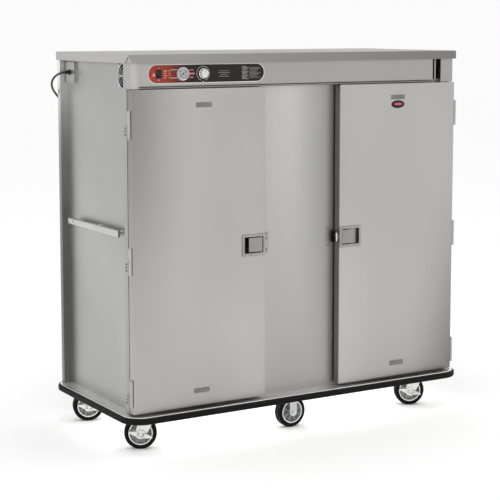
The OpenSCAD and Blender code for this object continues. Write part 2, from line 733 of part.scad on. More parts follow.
module roller() {
    translate([roller_x, roller_y, latch_z - 27]) cylinder(r = 2 - run_gap/2, h = 54);
    difference() {
        translate([roller_x, roller_y, latch_z - 21.5]) cylinder(r = roller_r, h = 43);
        translate([roller_x, roller_y, latch_z - 23]) cylinder(r = 2 + run_gap, h = 46);
    }
}

// ---------------------------------------------------------------- hinges

barrel_h = hinge_h/2 - fit_gap/2;

// Lower half: barrel, pin and a tapered leaf that reaches back to the corner post
module frame_leaf(z) {
    leaf_x = -side_x - hinge_leaf_t;
    reach = frame_y + front_post_d - 3 - hinge_y;
    difference() {
        union() {
            translate([-hinge_x, hinge_y, z - hinge_h/2]) cylinder(r = hinge_r, h = barrel_h);
            translate([leaf_x, hinge_y, z]) rotate([90, 0, 90]) linear_extrude(hinge_leaf_t)
                polygon([[0, -hinge_h/2 + 12], [0, -fit_gap/2 - 3], [reach - 18, -fit_gap/2 - 3],
                    [reach, -10], [reach, -hinge_h/2 + 6], [reach - 10, -hinge_h/2], [14, -hinge_h/2]]);
        }
        translate([-hinge_x, hinge_y, z - hinge_h/2 - 1]) cylinder(r = hinge_pin_r, h = barrel_h + 2);
    }
    translate([-hinge_x, hinge_y, z - hinge_h/2 + 2]) cylinder(r = hinge_pin_r, h = hinge_h - 4);
}

// Upper half: barrel and leaf on the door's edge
module door_leaf(z) {
    leaf_x = -door_x1 - hinge_leaf_t;
    difference() {
        union() {
            translate([-hinge_x, hinge_y, z + fit_gap/2]) cylinder(r = hinge_r, h = barrel_h);
            translate([leaf_x, hinge_y, z]) rotate([90, 0, 90]) linear_extrude(hinge_leaf_t)
                polygon([[0, fit_gap/2 + 3], [0, hinge_h/2 - 12], [10, hinge_h/2], [20, hinge_h/2],
                    [door_t - hinge_r - 4, hinge_h/2 - 8], [door_t - hinge_r - 4, fit_gap/2 + 3]]);
        }
        translate([-hinge_x, hinge_y, z - 1]) cylinder(r = hinge_pin_r + run_gap, h = barrel_h + 3);
    }
}

// ---------------------------------------------------------------- doors, drawn as the left one

module door_shell() color("#b0b3b5") difference() {
    block([-door_x1, front_y, door_z0], [-door_x0, front_y + door_t - door_sheet, door_z1]);
    block([-door_x1 + door_sheet, front_y + door_sheet, door_z0 + door_sheet],
        [-door_x0 - door_sheet, front_y + door_t, door_z1 - door_sheet]);
    block([-latch_x - recess_w/2 - 1, front_y - 1, latch_z - recess_h/2 - 1],
        [-latch_x + recess_w/2 + 1, front_y + 5, latch_z + recess_h/2 + 1]);
    // slot in the free edge that the latch nose passes
    block([-door_x0 - 5, front_y + 4, latch_z - nose_h/2 - 2],
        [-door_x0 + 1, front_y + 30, latch_z + nose_h/2 + 2]);
}

// Inner sheet with a raised field, and the sealed slabs behind the front pan
module door_liner() color("#bfc1c3") {
    back = front_y + door_t;
    block([-door_x1, back - door_sheet, door_z0], [-door_x0, back, door_z1]);
    raised = gasket_inset + gasket_w + 8;
    difference() {
        block([-door_x1 + raised, back, door_z0 + raised], [-door_x0 - raised, back + 5, door_z1 - raised]);
        block([-door_x1 + raised + 30, back + 2, door_z0 + raised + 30],
            [-door_x0 - raised - 30, back + 6, door_z1 - raised - 30]);
    }
    // slabs beside, above and below the latch, glued to the front pan
    air = door_sheet + 1;
    y0 = front_y + door_sheet;
    x_latch = -latch_x - recess_w/2 - 4;
    block([-door_x1 + air, y0, door_z0 + air], [x_latch, back - air, door_z1 - air]);
    block([x_latch + 0.5, y0, door_z0 + air], [-door_x0 - air, back - air, latch_z - recess_h/2 - 4]);
    block([x_latch + 0.5, y0, latch_z + recess_h/2 + 4], [-door_x0 - air, back - air, door_z1 - air]);
}

// Hollow bulb gasket with mitred square corners
module door_gasket() color("#3a3a3a") translate([0, 0, (door_z0 + door_z1)/2]) {
    w = door_w - 2*gasket_inset;
    h = door_h - 2*gasket_inset;
    y0 = front_y + door_t;
    y1 = frame_y - fit_gap;
    difference() {
        translate([-door_x1 + gasket_inset, y0, -h/2]) cube([w, y1 - y0, h]);
        translate([-door_x1 + gasket_inset + gasket_w, y0 - 1, -h/2 + gasket_w])
            cube([w - 2*gasket_w, y1 - y0 + 2, h - 2*gasket_w]);
    }
}

// What is screwed to the cabinet for the doors: lower hinge halves, strikes and their rollers
module frame_hardware_side() {
    for (z = hinge_zs) frame_leaf(z);
    strike();
    roller();
}

module frame_hardware() color("#c3c5c7") {
    frame_hardware_side();
    on_right() frame_hardware_side();
}

// Latch body: flanged pan let into the door, with two lugs for the paddle's pivot
module latch_pan() color("#cfd1d2") {
    wall = 2;
    pan_y = front_y + recess_d;
    difference() {
        union() {
            translate([-latch_x, front_y, latch_z]) to_front() linear_extrude(latch_plate_t)
                round_rect(latch_w, latch_h, 7);
            block([-latch_x - recess_w/2, front_y - eps, latch_z - recess_h/2],
                [-latch_x + recess_w/2, pan_y, latch_z + recess_h/2]);
        }
        block([-latch_x - recess_w/2 + wall, front_y - 10, latch_z - recess_h/2 + wall],
            [-latch_x + recess_w/2 - wall, pan_y - wall, latch_z + recess_h/2 - wall]);
        block([-pivot_x, front_y + 4, latch_z - nose_h/2 - 1],
            [-door_x0 + 1, front_y + 24, latch_z + nose_h/2 + 1]);
    }
    translate([-pivot_x, pivot_y, latch_z - recess_h/2 + 1]) cylinder(r = pivot_r, h = recess_h - 2);
}

module door_hinges() color("#c3c5c7") {
    for (z = hinge_zs) door_leaf(z);
}

// Paddle with its hub and the latch nose behind the free edge
module paddle() color("#d9dbdc") {
    hub_h = paddle_h - 6;
    tip = [pivot_x - door_x0 + nose_reach, 10];
    difference() {
        union() {
            translate([-pivot_x - paddle_w/2 + 2, pivot_y - paddle_t/2, latch_z]) to_front()
                translate([0, 0, -paddle_t/2]) linear_extrude(paddle_t) round_rect(paddle_w, paddle_h, 4);
            translate([-pivot_x, pivot_y, latch_z - hub_h/2]) cylinder(r = 4.6, h = hub_h);
            translate([-pivot_x, pivot_y, latch_z - nose_h/2]) linear_extrude(nose_h)
                polygon([[-3, 0], [3, 0], [8, 5], [tip.x - 3, 6], [tip.x, 8], [tip.x, tip.y], [6, tip.y],
                    [-3, 5]]);
            // pull lip along the finger gap
            block([-pivot_x - paddle_w + 2, pivot_y, latch_z - paddle_h/2 + 6],
                [-pivot_x - paddle_w + 5, pivot_y + 9, latch_z + paddle_h/2 - 6]);
        }
        translate([-pivot_x, pivot_y, latch_z - paddle_h]) cylinder(r = pivot_r + run_gap, h = 2*paddle_h);
    }
}

// ---------------------------------------------------------------- heater

blower_x = 0;
blower_y = 40;
blower_r = 70;
blower_h = 44;
inlet_r = 52;                                     // air inlet under the wheel
housing_z = bay_z + sheet_t;
housing_h = 66;
housing_wall = 2;
housing_w = 230;
housing_d = 190;
blower_z = housing_z + housing_wall + 8;
motor_z = housing_z + housing_h;
shaft_r = 4;
module heater_unit() color("#9c9fa1") {
    translate([blower_x, blower_y, 0]) {
        difference() {
            translate([0, 0, housing_z]) linear_extrude(housing_h)
                round_rect(housing_w, housing_d, 12);
            translate([0, 0, housing_z + housing_wall]) linear_extrude(housing_h - 2*housing_wall)
                round_rect(housing_w - 2*housing_wall, housing_d - 2*housing_wall, 12 - housing_wall);
            translate([0, 0, housing_z - 1]) cylinder(r = inlet_r, h = 5);
            translate([0, 0, motor_z - 5]) cylinder(r = shaft_r + run_gap, h = 10);
        }
        // sheathed element bent round the wheel, on two clips
        element_z = blower_z + blower_h/2;
        translate([0, 0, element_z]) rotate([0, 0, 30]) rotate_extrude(angle = 300)
            translate([blower_r + 12, 0]) circle(4);
        for (y = [-1, 1]) translate([-3, y*(blower_r + 12) - 3, housing_z + housing_wall])
            cube([6, 6, element_z - housing_z - housing_wall - 4]);
        // motor on the housing's roof, with a cooling neck
        difference() {
            translate([0, 0, motor_z]) {
                cylinder(r = 38, h = 34);
                cylinder(r1 = 50, r2 = 40, h = 6);
                translate([0, 0, 34]) cylinder(r1 = 30, r2 = 22, h = 8);
            }
            translate([0, 0, motor_z - 1]) cylinder(r = shaft_r + run_gap, h = 26);
        }
    }
}

// Squirrel-cage wheel: back plate, inlet ring and a row of blades, hung on the motor's shaft
module blower_wheel() color("#c2c4c6") translate([blower_x, blower_y, blower_z]) {
    blades = 24;
    translate([0, 0, blower_h - 1.5]) cylinder(r = blower_r, h = 1.5);
    difference() {
        cylinder(r = blower_r, h = 2);
        translate([0, 0, -1]) cylinder(r = blower_r - 12, h = 4);
    }
    for (i = [0:blades - 1]) rotate([0, 0, i*360/blades]) translate([blower_r - 11, -0.5, 1])
        cube([9, 1, blower_h - 2]);
    translate([0, 0, blower_h - 16]) cylinder(r = 9, h = 16);
    translate([0, 0, blower_h - 16]) cylinder(r = shaft_r, h = motor_z + 24 - blower_z - blower_h + 16);
}

// ---------------------------------------------------------------- power inlet and cord

module strain_relief() color("#161616") translate([-recess_x - inlet_h, inlet_y, inlet_z])
    rotate([0, -90, 0]) difference() {
        union() {
            cylinder(r = 13, h = 6, $fn = 6);
            cylinder(r1 = 10, r2 = cord_d/2 + 2, h = gland_h);
            translate([0, 0, -8]) cylinder(r = inlet_bore - 0.1, h = 9);
        }
        translate([0, 0, -9]) cylinder(r = cord_d/2 + cord_clearance, h = 40);
    }

// Catmull-Rom point on the route, a share t of the way from point i to the next
function on_route(p, i, t) =
    let (a = p[max(i - 1, 0)], b = p[i], c = p[min(i + 1, len(p) - 1)], d = p[min(i + 2, len(p) - 1)])
    0.5*(2*b + t*(c - a) + t*t*(2*a - 5*b + 4*c - d) + t*t*t*(3*b - a - 3*c + d));
function unit(v) = v/norm(v);

// A tube of round section swept along points, closed at both ends
module tube(points, r, sides) {
    n = len(points);
    across = [0.55, -0.83, 0];                    // never runs along the route
    rings = [for (i = [0:n - 1])
        let (t = unit(points[min(i + 1, n - 1)] - points[max(i - 1, 0)]),
            u = unit(cross(t, across)), v = cross(t, u))
        for (k = [0:sides - 1]) points[i] + r*(cos(360*k/sides)*u + sin(360*k/sides)*v)];
    walls = [for (i = [0:n - 2], k = [0:sides - 1])
        let (m = (k + 1) % sides) each [
            [i*sides + k, (i + 1)*sides + k, i*sides + m],
            [i*sides + m, (i + 1)*sides + k, (i + 1)*sides + m]]];
    ends = [[for (k = [0:sides - 1]) k], [for (k = [sides - 1:-1:0]) (n - 1)*sides + k]];
    polyhedron(rings, concat(walls, ends));
}

module cord() color("#141414") tube(
    [for (i = [0:len(CORD_ROUTE) - 2], t = [0, 0.5]) on_route(CORD_ROUTE, i, t),
        CORD_ROUTE[len(CORD_ROUTE) - 1]], cord_d/2, 10);

module cord_coil() color("#141414") translate([coil_x, coil_y, 0]) rotate_extrude()
    translate([coil_r, 0]) {
        translate([-cord_d, 0]) square([2*cord_d, cord_d]);
        translate([0, 14.4]) circle(cord_d/2);
        translate([-cord_d/2, cord_d - eps]) square([cord_d, 4]);
    }

module plug() color("#1a1a1a") translate([coil_x - 33, coil_y + coil_r + 8, 17.5])
    rotate([0, 0, 180]) {
        rotate([0, 90, 0]) {
            cylinder(r1 = 7, r2 = 12, h = 14);
            translate([0, 0, 14]) cylinder(r = 17.5, h = 26);
        }
        for (y = [-1, 1]) block([40, y*6.4 - 0.75, -3], [56, y*6.4 + 0.75, 3]);
        translate([40, 0, -9]) rotate([0, 90, 0]) cylinder(r = 2.4, h = 18);
    }

// ---------------------------------------------------------------- casters

// Places a caster's pieces: local -X trails behind the swivel, +Z up from the floor
module at_caster(c) { translate([c[1], c[2], 0]) rotate([0, 0, c[3]]) children(); }

// Something drawn in the XZ plane, given a thickness along Y from y0
module slab_y(y0, t) { translate([0, y0 + t, 0]) rotate([90, 0, 0]) linear_extrude(t) children(); }

// Bolt across both legs, with a nut on the far boss and one outside the brake lever
module axle_bolt() {
    outer = lever_y + lever_t + 1;
    translate([-trail, boss_y, wheel_r]) rotate([90, 0, 0]) {
        cylinder(r = axle_r, h = boss_y + outer);
        translate([0, 0, -nut_h]) cylinder(r = 10, h = nut_h, $fn = 6);
        translate([0, 0, boss_y + outer]) cylinder(r = 10, h = nut_h, $fn = 6);
    }
}

// Upper race, plate and kingpin of a swivel caster; the plate is bolted under the deck
module swivel_plate(c) at_caster(c) {
    rotate([0, 0, -c[3]]) translate([0, 0, plate_z]) difference() {
        linear_extrude(plate_t) round_rect(114, 101, 10);
        for (x = [-1, 1], y = [-1, 1]) translate([x*46, y*38, -1]) cylinder(r = 4.5, h = 9);
    }
    difference() {
        translate([0, 0, plate_z - 5]) cylinder(r = race_r + 5, h = 5);
        translate([0, 0, plate_z - 6]) cylinder(r = race_r + fit_gap, h = 6 + eps);
    }
    translate([0, 0, crown_z - 6]) cylinder(r = kingpin_r, h = plate_z - crown_z + 6);
    translate([0, 0, crown_z - 10]) cylinder(r = 13, h = 10 - fit_gap);
}

module rigid_fork(c) at_caster(c) {
    leg_w = 40;
    translate([0, 0, plate_z]) difference() {
        linear_extrude(plate_t) round_rect(114, 101, 10);
        for (x = [-1, 1], y = [-1, 1]) translate([x*46, y*38, -1]) cylinder(r = 4.5, h = 9);
    }
    for (s = [-1, 1]) difference() {
        slab_y(s > 0 ? leg_y : -leg_y - fork_t, fork_t) {
            translate([-leg_w/2, wheel_r]) square([leg_w, plate_z - wheel_r + eps]);
            translate([0, wheel_r]) circle(leg_w/2);
        }
        translate([0, s*leg_y, wheel_r]) rotate([90, 0, 0]) cylinder(r = axle_r, h = 40, center = true);
    }
    for (s = [-1, 1]) translate([0, s*(leg_y + fork_t + nut_h/2), wheel_r]) rotate([90, 0, 0])
        cylinder(r = 10, h = nut_h, center = true, $fn = 6);
    translate([0, leg_y + fork_t, wheel_r]) rotate([90, 0, 0])
        cylinder(r = axle_r, h = 2*(leg_y + fork_t));
}

module caster_mounts() color("#c9cbcc") {
    for (c = SWIVELS) swivel_plate(c);
    for (c = RIGIDS) rigid_fork(c);
}

// Swivel fork: crown, lower race and two tapered legs with axle bosses
module fork(c) color("#bfc2c4") at_caster(c) {
    difference() {
        union() {
            translate([0, 0, crown_z]) linear_extrude(crown_t) hull() {
                circle(race_r + 4);
                translate([-trail, 0]) square([16, 2*leg_y + 2*fork_t], center = true);
                translate([14, 0]) square([14, 2*leg_y + 2*fork_t], center = true);
            }
            translate([0, 0, crown_z]) cylinder(r = race_r, h = plate_z - crown_z - fit_gap);
            for (s = [-1, 1]) {
                slab_y(s > 0 ? leg_y : -leg_y - fork_t, fork_t) hull() {
                    translate([-trail, wheel_r]) circle(26);
                    translate([-trail - 1, crown_z]) square([72, crown_t]);
                }
                translate([-trail, s*(leg_y + fork_t + boss_h/2), wheel_r]) rotate([90, 0, 0])
                    cylinder(r = 15, h = boss_h, center = true);
            }
        }
        translate([0, 0, crown_z - 1]) cylinder(r = kingpin_r + run_gap, h = 40);
        translate([0, 0, crown_z + crown_t]) cylinder(r = race_r - 12, h = 40);
        translate([-trail, 0, wheel_r]) rotate([90, 0, 0]) cylinder(r = axle_r, h = 200, center = true);
        // lightening pockets in the legs
        for (s = [-1, 1]) slab_y(s > 0 ? leg_y + 2 : -leg_y - fork_t - 1, fork_t - 1) hull() {
            translate([-trail + 14, wheel_r + 44]) circle(8);
            translate([-trail + 32, wheel_r + 62]) circle(10);
            translate([-trail + 10, wheel_r + 66]) circle(8);
        }
    }
    axle_bolt();
}

// Two-winged brake lever that rocks on the axle outside the fork
module brake(c) color("#e2e4e5") at_caster(c) translate([-trail, 0, wheel_r])
    rotate([0, brake_tilt, 0]) difference() {
        slab_y(-lever_y - lever_t, lever_t) {
            circle(19);
            for (s = [-1, 1]) hull() {
                translate([s*12, -4]) circle(12);
                translate([s*52, -4]) circle(4.5);
            }
        }
        rotate([90, 0, 0]) cylinder(r = axle_r + run_gap, h = 200, center = true);
    }

// Where a wheel's axle lies behind its caster's axis
function behind(c) = c[3] == 0 ? 0 : -trail;

// Spoked wheel: hub, web and rim turned in one, with spokes on both sides of the web
module core(c) color("#b6b9bb") at_caster(c) translate([behind(c), 0, wheel_r]) rotate([90, 0, 0]) {
    bore = axle_r + run_gap;
    half = wheel_w/2;
    rotate_extrude() polygon([
        [bore, -half], [15, -half], [17, -half + 3], [17, -4], [rim_r - 8, -4], [rim_r - 7, -half + 3],
        [rim_r, -half + 2], [rim_r, half - 2], [rim_r - 7, half - 3], [rim_r - 8, 4], [17, 4],
        [17, half - 3], [15, half], [bore, half]]);
    for (i = [0:7]) rotate([0, 0, i*45]) translate([16, -2.5, -half + 6])
        cube([rim_r - 23, 5, wheel_w - 12]);
}

module tyre(c) color("#161616") at_caster(c) translate([behind(c), 0, wheel_r])
    rotate([90, 0, 0]) rotate_extrude() {
        shoulder = 9;
        translate([rim_r, -wheel_w/2]) square([tyre_t - shoulder, wheel_w]);
        translate([rim_r, -wheel_w/2 + shoulder]) square([tyre_t, wheel_w - 2*shoulder]);
        for (y = [-1, 1]) translate([wheel_r - shoulder, y*(wheel_w/2 - shoulder)]) circle(shoulder);
    }

// ---------------------------------------------------------------- pieces

base_frame();
bumper();
bumper_rail();
side_panels();
back_panel();
top_cover();
cabinet_frame();
centre_panel();
control_fascia();
liner();
insulation();
shelves();
control_overlay();
switch_rocker();
panel_fittings();
thermometer_needle();
thermostat_knob();
push_handles();
fan_frame();
fan_rotor();
frame_hardware();
heater_unit();
blower_wheel();
strain_relief();
cord();
cord_coil();
plug();
door_shell();  // left_door_shell
door_liner();  // left_door_liner
door_gasket();  // left_door_gasket
door_hinges();  // left_door_hinges
latch_pan();  // left_latch_pan
paddle();  // left_paddle
on_right() door_shell();  // right_door_shell
on_right() door_liner();  // right_door_liner
on_right() door_gasket();  // right_door_gasket
on_right() door_hinges();  // right_door_hinges
on_right() latch_pan();  // right_latch_pan
on_right() paddle();  // right_paddle
caster_mounts();
for (c = SWIVELS) {
    fork(c);
    brake(c);
}
for (c = WHEELS) {
    core(c);
    tyre(c);
}
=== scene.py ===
# Looks of the enclosed meal tray cart: brushed sheet, bumper, controls, latches, casters
# and cord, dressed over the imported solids. Metres, front towards -Y.
import math

import bmesh
import bpy
from mathutils import Euler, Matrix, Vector


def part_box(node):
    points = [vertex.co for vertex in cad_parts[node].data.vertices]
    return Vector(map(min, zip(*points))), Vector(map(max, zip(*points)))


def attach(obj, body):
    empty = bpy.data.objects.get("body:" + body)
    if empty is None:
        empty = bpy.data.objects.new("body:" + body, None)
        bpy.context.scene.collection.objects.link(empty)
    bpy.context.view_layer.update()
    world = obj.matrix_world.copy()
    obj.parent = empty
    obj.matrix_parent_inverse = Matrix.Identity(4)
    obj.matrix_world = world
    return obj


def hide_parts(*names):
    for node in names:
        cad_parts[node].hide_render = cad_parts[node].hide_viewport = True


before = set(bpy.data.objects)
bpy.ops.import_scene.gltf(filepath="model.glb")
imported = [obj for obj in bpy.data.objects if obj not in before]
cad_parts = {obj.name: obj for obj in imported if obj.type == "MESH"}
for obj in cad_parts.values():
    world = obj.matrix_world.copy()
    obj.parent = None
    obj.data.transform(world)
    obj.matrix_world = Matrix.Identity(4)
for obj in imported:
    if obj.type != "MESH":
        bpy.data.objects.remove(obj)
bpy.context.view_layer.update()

# ---------------------------------------------------------------- places taken from the solids

X, Y, Z = 0, 1, 2
TO_FRONT = Euler((math.radians(90), 0, 0))
TO_LEFT = Euler((0, math.radians(-90), 0))
TO_RIGHT = Euler((0, math.radians(90), 0))
UPSIDE_DOWN = Euler((math.radians(180), 0, 0))
HALF_TURN = Euler((0, 0, math.pi))
STILL = Euler((0, 0, 0))

cover_low, cover_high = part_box("top_cover")
overlay_low, overlay_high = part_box("control_overlay")
latch_x = sum(v.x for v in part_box("left_latch_pan"))/2
door_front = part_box("left_door_shell")[0].y
PANEL_Y = -0.3445
overlay_y = overlay_low.y
control_z = (overlay_low.z + overlay_high.z)/2
gauge = Vector((-0.643, overlay_y, control_z))
knob = Vector((sum(v.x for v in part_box("thermostat_knob"))/2, overlay_y, control_z))
switch = Vector((sum(v.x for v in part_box("switch_rocker"))/2, overlay_y, control_z))


# ---------------------------------------------------------------- bench

def only(piece):
    bpy.ops.object.select_all(action="DESELECT")
    if piece:
        piece.select_set(True)
        bpy.context.view_layer.objects.active = piece


def fresh(name):
    piece = bpy.context.active_object
    piece.name = piece.data.name = name
    only(piece)
    bpy.ops.object.transform_apply(location=True, rotation=True, scale=True)
    return piece


def block(name, low, high):
    only(None)
    low, high = Vector(low), Vector(high)
    bpy.ops.mesh.primitive_cube_add(size=1, location=(low + high)/2, scale=high - low)
    return fresh(name)


def round_bar(name, start, end, radius, end_radius=None, sides=32):
    only(None)
    start, end = Vector(start), Vector(end)
    bpy.ops.mesh.primitive_cone_add(vertices=sides, radius1=radius,
        radius2=radius if end_radius is None else end_radius, depth=(end - start).length,
        location=(start + end)/2, rotation=(end - start).to_track_quat("Z", "Y").to_euler())
    return fresh(name)


def edit(piece):
    only(piece)
    bpy.ops.object.mode_set(mode="EDIT")


def done():
    bpy.ops.object.mode_set(mode="OBJECT")


def pick(piece, kind, test):
    bpy.ops.mesh.select_mode(type=kind)
    bpy.ops.mesh.select_all(action="DESELECT")
    mesh = bmesh.from_edit_mesh(piece.data)
    for part in {"VERT": mesh.verts, "EDGE": mesh.edges, "FACE": mesh.faces}[kind]:
        if test(part):
            part.select_set(True)
    mesh.select_flush_mode()
    bmesh.update_edit_mesh(piece.data)


def pick_all():
    bpy.ops.mesh.select_all(action="SELECT")


def face_out():
    """Turns every face of the piece in edit mode outwards and leaves that mode."""
    pick_all()
    bpy.ops.mesh.normals_make_consistent(inside=False)
    done()


def apply(piece, kind, **settings):
    only(piece)
    tool = piece.modifiers.new(kind.lower(), kind)
    for key, value in settings.items():
        setattr(tool, key, value)
    bpy.ops.object.modifier_apply(modifier=tool.name)


def cut(piece, *cutters):
    for cutter in cutters:
        apply(piece, "BOOLEAN", object=cutter, operation="DIFFERENCE", solver="EXACT")
        bpy.data.objects.remove(cutter)


def along(axis, least=0.001):
    """Test for edges that run along an axis."""
    return lambda e: abs(e.verts[0].co[axis] - e.verts[1].co[axis]) > least


def bevel(offset, segments):
    bpy.ops.mesh.bevel(offset=offset, segments=segments, affect="EDGES")


def ease(piece, radius, segments=2, test=lambda e: True):
    """Rounds the edges that pass the test."""
    edit(piece)
    pick(piece, "EDGE", lambda e: e.is_manifold and e.calc_face_angle(0) > 0.5 and test(e))
    bevel(radius, segments)
    done()


def slab(name, x, z, half_wide, half_tall, front, back):
    """Block centred on a place of the front view."""
    return block(name, (x - half_wide, front, z - half_tall), (x + half_wide, back, z + half_tall))


def round_front(plate, front, corner, corner_steps, rim, rim_steps):
    """Rounds a plate's corners, then the rim in front of a depth."""
    edit(plate)
    pick(plate, "EDGE", along(Y))
    bevel(corner, corner_steps)
    pick(plate, "EDGE", lambda e: all(v.co.y < front for v in e.verts))
    bevel(rim, rim_steps)
    done()


SHEET_T = 0.0012


def folded_pan(name, low, high, open_side, radius):
    """Sheet pan with rounded folds, open towards one side."""
    pan = block(name, low, high)
    edit(pan)
    pick(pan, "FACE", lambda f: f.normal.dot(open_side) > 0.9)
    bpy.ops.mesh.delete(type="FACE")
    pick(pan, "EDGE", lambda e: not e.is_boundary)
    bevel(radius, 3)
    done()
    apply(pan, "SOLIDIFY", thickness=SHEET_T, offset=-1)
    return pan


def turned(name, profile, steps=48):
    """Lathe piece about Z from its closed profile of (radius, height)."""
    only(None)
    bpy.ops.mesh.primitive_circle_add(vertices=len(profile), radius=1)
    ring = bpy.context.active_object
    for vertex, (radius, height) in zip(ring.data.vertices, profile):
        vertex.co = (radius, 0, height)
    ring = fresh(name)
    apply(ring, "SCREW", steps=steps, render_steps=steps, use_merge_vertices=True, merge_threshold=0.00001)
    edit(ring)
    pick_all()
    bpy.ops.mesh.dissolve_degenerate(threshold=0.000001)
    face_out()
    return ring


def hull_of(name, parts):
    piece = join(name, parts)
    edit(piece)
    pick_all()
    bpy.ops.mesh.convex_hull()
    pick_all()
    bpy.ops.mesh.dissolve_limited(angle_limit=math.radians(1))
    done()
    return piece


PLAN = lambda u, v, w: (u, v, w)
FRONTAL = lambda u, v, w: (u, w, v)
SIDEWAYS = lambda u, v, w: (w, u, v)


def outline_plate(name, outline, start, thickness, lay=FRONTAL):
    """Plate from its outline, in the plane that lay gives, growing from start by its thickness."""
    only(None)
    bpy.ops.mesh.primitive_circle_add(vertices=len(outline), radius=1, fill_type="NGON")
    plate = bpy.context.active_object
    for vertex, (u, v) in zip(plate.data.vertices, outline):
        vertex.co = lay(u, v, start)
    plate = fresh(name)
    edit(plate)
    pick_all()
    bpy.ops.mesh.extrude_region_move(TRANSFORM_OT_translate={"value": lay(0, 0, thickness)})
    face_out()
    return plate


def label(name, words, size):
    """Raised print on the origin, read from +Z."""
    only(None)
    bpy.ops.object.text_add()
    text = bpy.context.active_object
    text.data.body, text.data.size, text.data.extrude = words, size, 0.0002
    text.data.align_x, text.data.align_y = "CENTER", "CENTER"
    bpy.ops.object.convert(target="MESH")
    return fresh(name)


def join(name, parts):
    only(parts[0])
    for part in parts:
        part.select_set(True)
    bpy.ops.object.join()
    parts[0].name = parts[0].data.name = name
    return parts[0]


def put(piece, place, turn=STILL):
    """Turns and moves a piece that was modelled on the origin."""
    piece.rotation_euler = turn
    piece.location = place
    only(piece)
    bpy.ops.object.transform_apply(location=True, rotation=True, scale=True)
    return piece


def copy_to(piece, place, turn=STILL):
    only(piece)
    bpy.ops.object.duplicate()
    return put(bpy.context.active_object, place, turn)


def mirrored(piece, name):
    """Twin of a piece on the other side of the cart."""
    twin = copy_to(piece, (0, 0, 0))
    twin.name = twin.data.name = name
    twin.scale = (-1, 1, 1)
    bpy.ops.object.transform_apply(location=True, rotation=True, scale=True)
    edit(twin)
    face_out()
    return twin


def round_z(degrees):
    return Euler((0, 0, math.radians(degrees)))


def clock(angle):
    """Turn that lays a piece modelled along +Y on a dial's front at this angle."""
    return (TO_FRONT.to_matrix() @ Euler((0, 0, angle - math.radians(90))).to_matrix()).to_euler()


def discard(piece):
    bpy.data.objects.remove(piece)


def fit(piece, body, material, replaced=()):
    only(piece)
    bpy.ops.object.shade_smooth_by_angle(angle=math.radians(35))
    piece.data.materials.clear()
    piece.data.materials.append(material)
    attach(piece, body)
    if replaced:
        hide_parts(*replaced)


def fit_pair(piece, body, material, replaced=(), right_material=None):
    """Fits a piece of the left side and its mirrored twin."""
    to_right = lambda words: words.replace("left", "right")
    twin = mirrored(piece, to_right(piece.name))
    fit(twin, to_right(body), right_material or material, [to_right(node) for node in replaced])
    fit(piece, body, material, replaced)


# ---------------------------------------------------------------- camera and cord

only(None)
bpy.ops.object.camera_add(location=(-3.8247, -6.2508, 1.9684),
    rotation=(math.radians(83.52), 0, math.radians(-31.058)))
camera = bpy.context.active_object
camera.data.lens = 105.47
camera.data.shift_y = -0.12
bpy.context.scene.camera = camera

CORD_D = 0.0105
COIL = Vector((-0.645, 0.545, 0))
CORD_ROUTE = [(-893, 319, 1734), (-910, 319, 1734), (-921, 320, 1733.5), (-931, 322, 1731.5),
    (-940, 326, 1728.5), (-948, 331.5, 1724), (-954, 338.5, 1718.5), (-958.5, 346, 1712.5), (-961, 354, 1706),
    (-962, 366, 1696), (-960.5, 379, 1684.5), (-956, 391, 1672), (-949, 403, 1659), (-939, 414, 1646),
    (-926, 424, 1632.5), (-911, 432, 1618), (-894, 440, 1601), (-876, 446, 1580), (-857, 451, 1554),
    (-839, 454, 1520), (-822, 456, 1477), (-810, 457, 1420), (-803, 457, 1340), (-800, 457, 1220),
    (-800, 457, 1060), (-800, 457, 880), (-800, 457, 700), (-800, 457, 520), (-800, 457, 360),
    (-800, 457, 240), (-800, 457, 160), (-799, 458, 100), (-796, 461, 64), (-790.5, 464.5, 41),
    (-781, 468.5, 24), (-768.5, 473, 12.5), (-753, 478, 7), (-737, 482.5, 6), (-719, 486.5, 6),
    (-703, 489.5, 6), (-691, 490.5, 6)]


def coil_spot(angle):
    """Place on the wound cord: two turns side by side on the floor, the rest on top of them."""
    outer, inner, upper, floor, lift = 0.06325, 0.05275, 0.058, 0.0054, 0.0145
    glide = lambda low, high: min(max((angle - low)/(high - low), 0), 1)
    inward, rise = glide(205, 255), glide(515, 565)
    radius = outer + (inner - outer)*inward + (upper - inner)*(1 - math.cos(rise*math.pi/3))*2
    height = floor + (lift - floor)*math.sin(rise*math.pi/3)/math.sin(math.pi/3)
    height += 0.0018*math.exp(-((angle - 590)/22)**2)
    turn = math.radians(angle)
    return COIL + Vector((radius*math.cos(turn), radius*math.sin(turn), height))


def cord_points():
    line = [Vector(p)/1000 for p in CORD_ROUTE]
    line += [Vector((-0.6765, 0.4880, 0.0057))]
    line += [coil_spot(a) for a in range(-105, 811, 15)]
    line += [COIL + Vector((-0.011, 0.0592, 0.0152)), COIL + Vector((-0.022, 0.0622, 0.0164)),
        COIL + Vector((-0.033, 0.0652, 0.0173)), COIL + Vector((-0.042, 0.0662, 0.0175))]
    return line


# ---------------------------------------------------------------- stage and light

